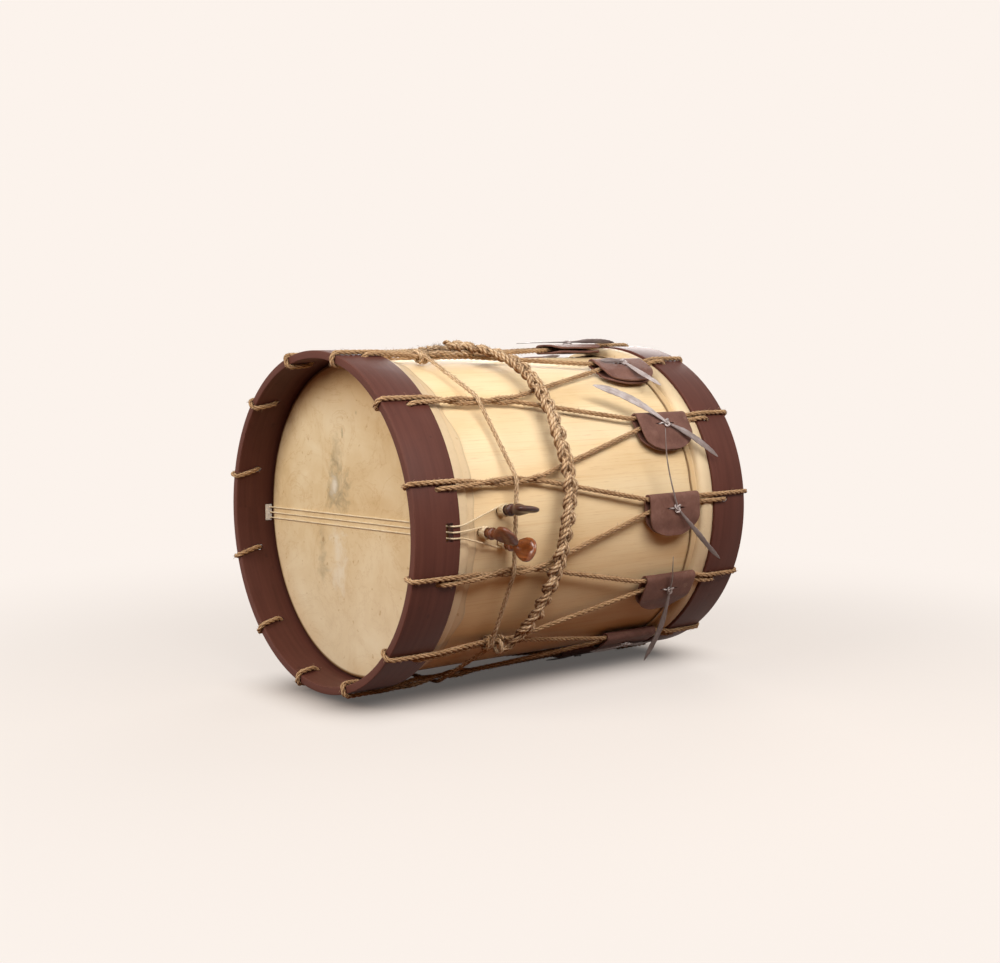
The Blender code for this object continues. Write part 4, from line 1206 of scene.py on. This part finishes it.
def make_waist_rope(material):
    """The rope round the drum over the pairs."""
    lift = (ROPE + WAIST_LINE) / 2
    corners = []
    for loop in range(LOOPS):
        y = WAIST_PLACE + WAIST_SHIFTS[loop]
        radius = pair_radius(y) + lift
        middle = WAIST_KNOT_ANGLE + loop * LOOP_STEP
        for side in (-1, 1):
            corners.append(around(radius, middle + side * PAIR_HALF / radius, y))
    knot = (corners[0] + corners[1]) / 2
    line = evenly(rounded_route([knot, *corners[1:], corners[0], knot], ROPE_BEND), ROPE_STEP, 3)
    put_rope("waist_rope_round", line, WAIST_LINE, WAIST_LAY, 0.0, WAIST_FIBRES, material, "waist_rope")


def braid_points():
    points = []
    for angle, behind, gap in BRAID_ROUTE:
        radius = WAIST_RADIUS + ROPE / 2 + gap + BRAID_SOLID / 2
        points.append(around(radius, radians(angle), WAIST_PLACE + behind))
    return points


def make_braid(material):
    """The plaited sling: three strands of twisted yarn, plaited flat along the sling's route."""
    line = evenly(smooth_through(braid_points(), BRAID_CURVE_STEP), BRAID_STEP, 4)
    aside, out = facing_out(line)
    distance = lengths_along(line)
    tubes = []
    drawn = (distance[-1] - PLAIT_DRAWN_FROM, distance[-1] - PLAIT_DRAWN_TO)
    drawn_in = np.interp(distance, drawn, (1.0, PLAIT_DRAWN_IN))
    for number in range(3):
        turn = 2 * pi * (distance / PLAIT_PITCH + number / 3)
        turn = turn + PLAIT_SHIFT * np.sin(distance * 90 + number * 2.1)
        slack = np.sin(distance * 170 + number * 4.0) * np.sin(distance * 61 + number)
        uneven = drawn_in * (1 + PLAIT_SLACK * slack)
        strand = (line + (PLAIT_SWING * uneven * np.sin(turn))[:, None] * aside
                  + (PLAIT_WEAVE * drawn_in * np.sin(2 * turn))[:, None] * out)
        thickness = PLAIT_STRAND * np.maximum(uneven, PLAIT_THINNEST)[:, None]
        for rings, lengths, height in twisted(strand, thickness, PLAIT_LAY, number * 2.0):
            # Where a strand dips under the others its height over grooves drops, which the finish turns into
            # painted shade between the plaited strands.
            raised = np.sum((rings - line[:, None, :]) * out[:, None, :], axis=2) / PLAIT_STRAND
            tubes.append((rings, lengths, height * np.clip(0.66 + 0.42 * raised, 0.35, 1.1)))
        fibres, reach = PLAIT_FIBRES
        tubes += stray_fibres(strand, fibres, PLAIT_STRAND / 2, reach)
    braid = put_tubes("plaited_sling", tubes, material, "rope", "drum", "carry_braid")


def tie_rope(name, points, thickness, lay, fibres, material):
    """A short rope that is tied to the others."""
    line = evenly(points, TIE_STEP, 3)
    put_rope(name, line, thickness, lay, CHANCE.uniform(0, 2 * pi), (fibres, TIE_FIBRE_REACH), material)


def turns_round(angle, front, rear, turns, thickness, over):
    """Points of so many turns of rope bound round a front pair and what lies over it, so high."""
    points = []
    count = turns * BINDING_STEPS
    for step in range(count + 1):
        turn = 2 * pi * step / BINDING_STEPS
        y = front + (rear - front) * step / count
        middle = pair_radius(y)
        aside = (PAIR_HALF + ROPE / 2 + thickness * 0.42) * cos(turn)
        out = over / 2 + (ROPE / 2 + over / 2 + thickness * 0.46) * sin(turn)
        points.append(around(middle + out, angle + aside / middle, y))
    return points


def make_ties(hemp, pale_hemp):
    """Where the sling and the waist rope are tied: loose frayed ends along a pair, and bound turns."""
    for number, (offset, lift, front, rear, thickness) in enumerate(SLING_ENDS, 1):
        points = []
        for step in range(SLING_END_POINTS):
            y = front + (rear - front) * step / (SLING_END_POINTS - 1)
            radius = pair_radius(y) + lift + SLING_END_RISE * sin(step * 1.9 + number)
            aside = offset + SLING_END_SWAY * sin(step * 1.3 + number)
            points.append(around(radius, SLING_TOP_ANGLE + aside / radius, y))
        line = smooth_through(points, SLING_END_STEP)
        tie_rope(f"sling_end_{number}", line, thickness, PLAIT_LAY, SLING_END_FIBRES, pale_hemp)
    for name, angle, front, rear, turns, thickness, over, fibres in BINDINGS:
        points = turns_round(angle, front, rear, turns, thickness, over)
        material = hemp if name == "waist_knot" else pale_hemp
        tie_rope(name, points, thickness, BINDING_LAY, fibres, material)


def ear_line():
    """The leather's middle line across an ear, outer flap to inner flap: round the drum, and out."""
    channel = ROPE / 2 + CHANNEL_PLAY + LEATHER / 2
    closed = (GAP + LEATHER) / 2
    fold_centre = PAIR_HALF + ROPE / 2 + FOLD_PLAY + LEATHER / 2 - channel
    half = [(-EAR_DROP, closed), (-EAR_FLAPS_MEET, closed), (-EAR_CHANNEL_END, 0.94 * channel),
            (fold_centre, channel)]
    fold = [(fold_centre + channel * cos(turn), channel * sin(turn))
            for turn in (pi / 2 - pi * step / 12 for step in range(1, 12))]
    line = half + fold + [(across, -out) for across, out in reversed(half)]
    line = evenly([(across, out, 0.0) for across, out in line], EAR_STEP, 10)
    return line[:, :2]


def make_ear_pattern():
    """One folded ear at angle 0: a strip of leather with D-shaped flaps, bent round two strands and slit."""
    line = ear_line()
    full_flap = (EAR_DROP - EAR_CURVE) * 1.03
    clear_selection()
    bpy.ops.mesh.primitive_grid_add(x_subdivisions=56, y_subdivisions=22, size=1.0)
    ear = added("ear_pattern")
    for vert in ear.data.vertices:
        place = (vert.co.x + 0.5) * (len(line) - 1)
        index = min(int(place), len(line) - 2)
        across, out = line[index] + (line[index + 1] - line[index]) * (place - index)
        drop = min(1.0, max(0.0, -EAR_CURVE - across) / full_flap)
        half_length = EAR_LENGTH / 2 * (1 - drop ** 2.4) ** 0.5
        y = EAR_MIDDLE + 2 * vert.co.y * half_length
        vert.co = around(EAR_ROPE_RADIUS + out, across / EAR_ROPE_RADIUS, y)
    hold(ear)
    bpy.ops.object.mode_set(mode="EDIT")
    merge_points(1e-5)
    thicken(ear, LEATHER, 0)
    round_edges(ear, EAR_EDGE, 2, 50)
    apply_all(ear)
    slit_start = around(EAR_ROPE_RADIUS - SLIT_REACH, LACE_ANGLE, EAR_MIDDLE)
    slit_end = around(EAR_ROPE_RADIUS + SLIT_REACH, LACE_ANGLE, EAR_MIDDLE)
    slit = rod("slit", slit_start, slit_end, SLIT, 16)
    for vert in slit.data.vertices:
        vert.co.y = AXIS.y + EAR_MIDDLE + (vert.co.y - AXIS.y - EAR_MIDDLE) * SLIT_STRETCH
    cut_out(ear, slit)
    return smooth(ear, 45)


def turned_to(angle, shift):
    """The turn of the drum's angle 0 to another angle round its axis, and the shift along it."""
    moved = Matrix.Translation(AXIS + Vector((0, shift, 0)))
    return moved @ Matrix.Rotation(-angle, 4, "Y") @ Matrix.Translation(-AXIS)


def make_ears(material):
    """Each ear from the one pattern, its flaps sprung open a little and bent in its own way."""
    pattern = make_ear_pattern()
    for number in range(LOOPS):
        ear = link_mesh(f"folded_ear_{number + 1:02d}", pattern.data.copy())
        spring = CHANCE.uniform(*FLAP_SPRING)
        bow = CHANCE.uniform(-FLAP_BOW, FLAP_BOW)
        seed = CHANCE.uniform(0, 50)
        for vert in ear.data.vertices:
            place = vert.co - AXIS
            radius = sqrt(place.x ** 2 + place.z ** 2)
            across = place.z
            y = (place.y - EAR_MIDDLE) / (EAR_LENGTH / 2)
            hang = max(0.0, -across - EAR_HANG) / (EAR_DROP - EAR_HANG)
            out = radius - EAR_ROPE_RADIUS
            ring = Vector((place.x, 0, place.z)) / radius
            ripple = noise.noise(Vector((place.y * 60, place.z * 60, seed)))
            lift = -hang * INNER_FLAP_DROP
            if out > 0:
                lift = hang * hang * (spring + bow * y + FLAP_RIPPLE * ripple)
            vert.co += ring * lift
            vert.co.y += FLAP_EDGE_RIPPLE * hang * ripple
        ear.data.transform(turned_to(REAR_TURN + number * LOOP_STEP, EAR_SHIFTS[number]))
        put(ear, material, "ear_leather", f"ear_{number + 1:02d}", f"tug_ear_{number + 1:02d}")
    bpy.data.objects.remove(pattern)


def lace_knot(centre, out, aside):
    """A flat overhand knot of thong on an ear."""
    along = np.cross(out, aside)
    points = []
    for step in range(KNOT_STEPS):
        turn = 2 * pi * step / KNOT_STEPS
        x = (sin(turn) + 2 * sin(2 * turn)) * KNOT_LOOP
        y = (cos(turn) - 2 * cos(2 * turn)) * KNOT_LOOP
        z = -sin(3 * turn) * KNOT_RISE
        points.append(centre + aside * x + along * y + out * z)
    points.append(points[0])
    line = evenly(points, LACE_STEP)
    return tube(line, *KNOT_SECTION, LACE_SIDES)


def lace_tail(start, tip, out, roll, bow, breadth, paleness, seed):
    """A flat thong from the knot to its tip: wider past the knot, pointed, bowed and rolled on edge.

    Its paleness goes in the place of the height over grooves."""
    share = np.linspace(0.0, 1.0, TAIL_POINTS)
    lift = np.sin(share * pi) * (TAIL_RISE + TAIL_RISE_VARIES * sin(seed))
    side = np.cross(tip - start, out)
    side = side / np.linalg.norm(side)
    sway = np.sin(share * pi) * bow + np.sin(share * 9.0 + seed) * TAIL_WAVER * share
    line = start + share[:, None] * (tip - start) + lift[:, None] * out + sway[:, None] * side
    line[:, 2] = np.maximum(line[:, 2], CAD_BOX[0].z + LACE)
    along = unit(np.gradient(line, axis=0))
    turn = radians(roll) * np.interp(share, *TAIL_ROLL)
    up = unit(out - along * (along @ out)[:, None])
    aside = np.cross(along, up)
    rolled = np.cos(turn)[:, None] * aside + np.sin(turn)[:, None] * up
    raised = np.cos(turn)[:, None] * up - np.sin(turn)[:, None] * aside
    nibbled = 1 + 0.10 * np.sin(share * 23.0 + seed * 3) * np.sin(share * 41.0 + seed)
    width = np.interp(share, *TAIL_WIDTH) * nibbled * breadth
    height = np.interp(share, *TAIL_HEIGHT)
    rings, distance, tone = tube(line, width, height, TAIL_SIDES, (along, rolled, raised))
    return rings, distance, tone * paleness


def make_laces(material):
    """Each ear's thong: a bar along the slit, its ends tucked in, a knot on the outside and two tails."""
    top = EAR_ROPE_RADIUS + ROPE / 2 + CHANNEL_PLAY + LEATHER + GAP + LACE / 2
    tucked = top - LEATHER - LACE
    for number, tails in enumerate(LACE_TAILS):
        angle = REAR_TURN + number * LOOP_STEP + LACE_ANGLE
        place = EAR_MIDDLE + EAR_SHIFTS[number]
        outward = np.array((cos(angle), 0.0, sin(angle)))
        upward = np.array((-sin(angle), 0.0, cos(angle)))
        rearward = np.array((0.0, 1.0, 0.0))
        middle = np.array(around(top, angle, place))
        knot = middle + outward * KNOT_LIFT
        bar = [around(top if outside else tucked, angle, place + behind) for outside, behind in LACE_BAR]
        line = evenly(rounded_route(bar, LACE_BEND), LACE_STEP, 2)
        tubes = [tube(line, *BAR_SECTION, LACE_SIDES), lace_knot(knot, outward, rearward)]
        for end, (direction, length, *manner) in zip((1, -1), tails):
            heading = rearward * cos(radians(direction)) + upward * sin(radians(direction))
            tip = middle + rearward * end * TAIL_ASIDE + heading * length
            start = knot + heading * TAIL_START
            tubes.append(lace_tail(start, tip, outward, *manner, number * 1.7 + end))
        put_tubes(f"lace_thong_{number + 1:02d}", tubes, material, "lace_leather",
                  f"ear_{number + 1:02d}", f"ear_lace_{number + 1:02d}")


def peg_outline():
    """A turned peg's outline, (radius, height above the shell)."""
    shank = PEG_SHANK / 2
    head = PEG_HEAD_WIDTH / 2
    end = -(SHELL_WALL + PEG_INSIDE)
    outline = [(0.0, end), (0.62 * shank, end), (0.80 * shank, end + 0.0008), (shank, 0.0), (shank, 0.0118)]
    outline += arc((shank, 0.0149), (0.35 * shank, 0.0022), -pi / 2, pi / 2, 8)
    outline += [(0.92 * shank, 0.0178), (0.86 * shank, 0.0192), (0.98 * shank, 0.0208)]
    outline += [(0.24 * head + shank * 0.62, 0.0226), (0.66 * head, 0.0257)]
    outline += [(head * width, PEG_NECK_HEIGHT + part * PEG_HEAD_LENGTH) for part, width in (
        (0.28, 0.82), (0.40, 0.95), (0.50, 0.995), (0.60, 1.0), (0.70, 0.965), (0.80, 0.86), (0.88, 0.70),
        (0.94, 0.51), (0.98, 0.29))]
    outline.append((0.0, PEG_NECK_HEIGHT + PEG_HEAD_LENGTH))
    return outline


def on_shell(angle, y, turn):
    """A piece's own Z to straight out of the shell at a place, turned about that axis."""
    place = Matrix.Translation(around(SHELL_RADIUS, angle, y))
    return place @ Matrix.Rotation(pi / 2 - angle, 4, "Y") @ Matrix.Rotation(turn, 4, "Z")


def make_pegs(materials):
    """The snare pegs: turned, then thinned at the head for finger and thumb."""
    flat_at = 0.45 * PEG_HEAD_LENGTH
    upright = (Vector(), Vector((0, 0, 1)), Vector((1, 0, 0)))
    for number, ((angle, before, turn, unused), material) in enumerate(zip(PEGS, materials), 1):
        peg = spun(f"turned_peg_{number}", peg_outline(), PEG_STEPS, *upright)
        for vert in peg.data.vertices:
            part = min(1.0, max(0.0, (vert.co.z - PEG_NECK_HEIGHT) / flat_at))
            part = part * part * (3 - 2 * part)
            hollow = 0.12 * part * (1 - (vert.co.x / (PEG_HEAD_WIDTH / 2)) ** 2)
            vert.co.y *= 1 - part * (1 - PEG_HEAD_FLATNESS) - hollow
        peg.data.transform(on_shell(angle, WAIST_PLACE - before, turn))
        smooth(peg, 40)
        put(peg, material, "peg_wood", f"peg_{number}", f"snare_peg_{number}")


def make_windings(material):
    """The guts' turns on the pegs, each one unbroken length."""
    for number, (angle, before, turn, unused) in enumerate(PEGS, 1):
        points = []
        for step in range(WINDING_TURNS * WINDING_STEPS + 1):
            round_it = 2 * pi * step / WINDING_STEPS
            height = WINDING_START + WINDING_PITCH * step / WINDING_STEPS
            points.append(Vector((WINDING_RADIUS * cos(round_it), WINDING_RADIUS * sin(round_it), height)))
        place = on_shell(angle, WAIST_PLACE - before, turn)
        line = evenly([place @ point for point in points], WINDING_POINT_STEP)
        put_tubes(f"gut_winding_{number}", [tube(line, GUT / 2, GUT / 2, GUT_SIDES)],
                  material, "gut", f"peg_{number}", f"peg_winding_{number}")


def make_guts(material):
    """The snare guts across the skin, out of the right slot and on to the pegs."""
    outside = HOOP_OUTER + GAP + GUT / 2
    for number, (angle, before, unused, side) in enumerate(PEGS, 1):
        spread = (2 - number) * GUT_SPACING
        left = LEFT_SLOT_HEIGHT + spread
        right = RIGHT_SLOT_HEIGHT + spread
        upwards = Vector((-sin(angle), 0, cos(angle)))
        at_peg = around(SHELL_RADIUS + GUT_AT_PEG, angle, WAIST_PLACE - before)
        at_peg += upwards * side * WINDING_RADIUS
        corners = [AXIS + Vector((-(HOOP_OUTER + GUT_PAST_HOOP), SLOT_MIDDLE, left)),
                   AXIS + Vector((-ROPE_INSIDE, GUT_LEVEL, left)),
                   AXIS + Vector((outside, GUT_LEVEL, right)),
                   AXIS + Vector((outside, FRONT_HOOP_WIDTH + GUT, right)),
                   at_peg]
        line = evenly(rounded_route(corners, GUT), GUT_STEP, 1)
        put_tubes(f"snare_string_{number}", [tube(line, GUT_DRAWN / 2, GUT_DRAWN / 2, GUT_SIDES)],
                  material, "gut", "drum", f"snare_gut_{number}")


def make_toggle(material):
    """The bone toggle that holds the guts' far ends at the left slot, waisted for the loops."""
    half = TOGGLE_LENGTH / 2
    radius = TOGGLE / 2
    outline = [(0.0, -half)]
    outline += arc((0.48 * radius, -half + TOGGLE_ROUND), (TOGGLE_ROUND, TOGGLE_ROUND), -pi / 2, 0, 3)
    outline += [(0.86 * radius, -0.78 * half), (radius, -0.62 * half), (0.96 * radius, -0.4 * half)]
    outline += [(0.82 * radius, 0.0)]
    outline += [(r, -h) for r, h in reversed(outline[:-1])]
    centre = AXIS + Vector((-(HOOP_OUTER + GAP + radius), SLOT_MIDDLE, LEFT_SLOT_HEIGHT))
    toggle = spun("bone_toggle", outline, TOGGLE_STEPS, centre, Vector((0, 0, 1)), Vector((1, 0, 0)))
    tongue_length = HOOP_WALL + GAP + radius
    tongue = block("toggle_tongue", (tongue_length, SLOT_WIDTH - 2 * GAP, SLOT_HEIGHT - 2 * GAP),
                   centre + Vector((tongue_length / 2, 0, 0)))
    toggle = joined_pieces("bone_toggle", [toggle, tongue])
    smooth(toggle, 50)
    put(toggle, material, "toggle_bone", "drum", "snare_toggle")


def seen_straight(paint):
    """1 where the camera looks, also by way of a mirror or through glass, and 0 for light that spreads."""
    camera, mirrored, through = (paint.node("ShaderNodeLightPath", {}, {}, ray) for ray in (
        "Is Camera Ray", "Is Glossy Ray", "Is Transmission Ray"))
    return camera.math("MAXIMUM", camera.math("MAXIMUM", camera, mirrored), through)


def make_floor():
    """A pale floor that keeps the drum's shadow, with a contact shadow painted under the drum; light that
    spreads sees it darker.
    """
    clear_selection()
    bpy.ops.mesh.primitive_plane_add(size=FLOOR_SIZE, location=(0, 0, CAD_BOX[0].z - FLOOR_DROP))
    floor = added("floor")
    paint = Paint("pale_floor", {})
    paint.tree.nodes.remove(paint.surface)
    x, y, unused = paint.parts(paint.place())
    # Painted contact shadow: under the drum the floor gets a dark colour, and more of its lit shading shows.
    under = paint.step((x - AXIS.x).size(), 0.13, 0.03) * paint.step(y.size(), 0.25, 0.17)
    near = paint.step((x * x + y * y) ** 0.5, 0.90, 0.25)
    pale = paint.node("ShaderNodeEmission", {}, {"Color": BACKDROP, "Strength": 1.0})
    colour = paint.mix(under, FLOOR_COLOUR, FLOOR_PAINTED_SHADOW)
    lit = paint.node("ShaderNodeBsdfDiffuse", {}, {"Color": colour})
    dim = paint.node("ShaderNodeBsdfDiffuse", {}, {"Color": FLOOR_BOUNCE})
    shown = paint.node("ShaderNodeMixShader", {}, {0: near * 0.35 + under * 0.55, 1: pale, 2: lit})
    both = paint.node("ShaderNodeMixShader", {}, {0: seen_straight(paint), 1: dim, 2: shown})
    paint.feed(paint.tree.nodes["Material Output"].inputs["Surface"], both)
    floor.data.materials.append(paint.material)


def make_sky():
    """A weak warm light from all round, with the pale backdrop where it is seen."""
    world = bpy.data.worlds.new("studio")
    bpy.context.scene.world = world
    world.use_nodes = True
    sky = Sky(world)
    plain = sky.node("ShaderNodeBackground", {}, {"Color": SKY_LIGHT, "Strength": SKY_STRENGTH})
    behind = sky.node("ShaderNodeBackground", {}, {"Color": BACKDROP, "Strength": 1.0})
    either = sky.node("ShaderNodeMixShader", {}, {0: seen_straight(sky), 1: plain, 2: behind})
    sky.feed(sky.tree.nodes["World Output"].inputs["Surface"], either)


def aim(thing, forward):
    """Turn a lamp or a camera to look along a direction, and bring it into the scene."""
    thing.rotation_euler = forward.to_track_quat("-Z", "Y").to_euler()
    bpy.context.scene.collection.objects.link(thing)


def make_lamps():
    """Soft round lamps that look at the drum."""
    for name, place, width, height, energy, colour in LAMPS:
        lamp = bpy.data.lights.new(name, "AREA")
        lamp.shape = "ELLIPSE"
        lamp.size = width
        lamp.size_y = height
        lamp.energy = energy
        lamp.color = colour
        light = bpy.data.objects.new(name, lamp)
        light.location = place
        light.visible_camera = False
        aim(light, LAMP_TARGET - light.location)


def make_camera():
    """The photograph's view."""
    camera = bpy.data.objects.new("camera", bpy.data.cameras.new("camera"))
    camera.data.lens = LENS
    camera.data.sensor_width = SENSOR_WIDTH
    camera.location = AXIS + EYE
    level = cos(EYE_ELEVATION)
    back = Vector((sin(EYE_AZIMUTH) * level, -cos(EYE_AZIMUTH) * level, sin(EYE_ELEVATION)))
    aim(camera, -back)
    bpy.context.scene.camera = camera


def main():
    bpy.context.scene.view_settings.view_transform = "Standard"
    make_floor()
    make_sky()
    make_lamps()
    make_camera()
    hemp = rope_finish("hemp_rope", *HEMP)
    pale_hemp = rope_finish("plaited_hemp", *PALE_HEMP)
    make_braid(pale_hemp)
    make_tension_rope(hemp)
    make_waist_rope(pale_hemp)
    make_ties(hemp, pale_hemp)
    stain = hoop_finish()
    rear_hoop_end = DRUM_LENGTH - REAR_HOOP_WIDTH
    make_hoop("front_counter_hoop", 0.0, FRONT_HOOP_WIDTH, 1, FRONT_TURN, stain)
    make_hoop("rear_counter_hoop", DRUM_LENGTH, rear_hoop_end, -1, REAR_TURN, stain)
    make_shell(shell_finish())
    make_skin("snare_skin", "front_head", SKIN_FACE, FRONT_HOOP_WIDTH, 1, FRONT_RIDGE,
              skin_finish("snare_skin", FRONT_HOOP_WIDTH, 1, True, 0.18))
    make_skin("rear_skin", "rear_head", REAR_SKIN_FACE, rear_hoop_end, -1, REAR_RIDGE,
              skin_finish("rear_skin", rear_hoop_end, -1, False, 1.0))
    ash = ring_finish()
    for node in ("front_flesh_hoop", "rear_flesh_hoop"):
        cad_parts[node].data.materials.clear()
        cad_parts[node].data.materials.append(ash)
    make_ears(ear_finish())
    make_laces(lace_finish())
    make_pegs([peg_finish(*wood) for wood in PEG_WOODS])
    gut = gut_finish()
    make_guts(gut)
    make_windings(gut)
    make_toggle(bone_finish())


main()
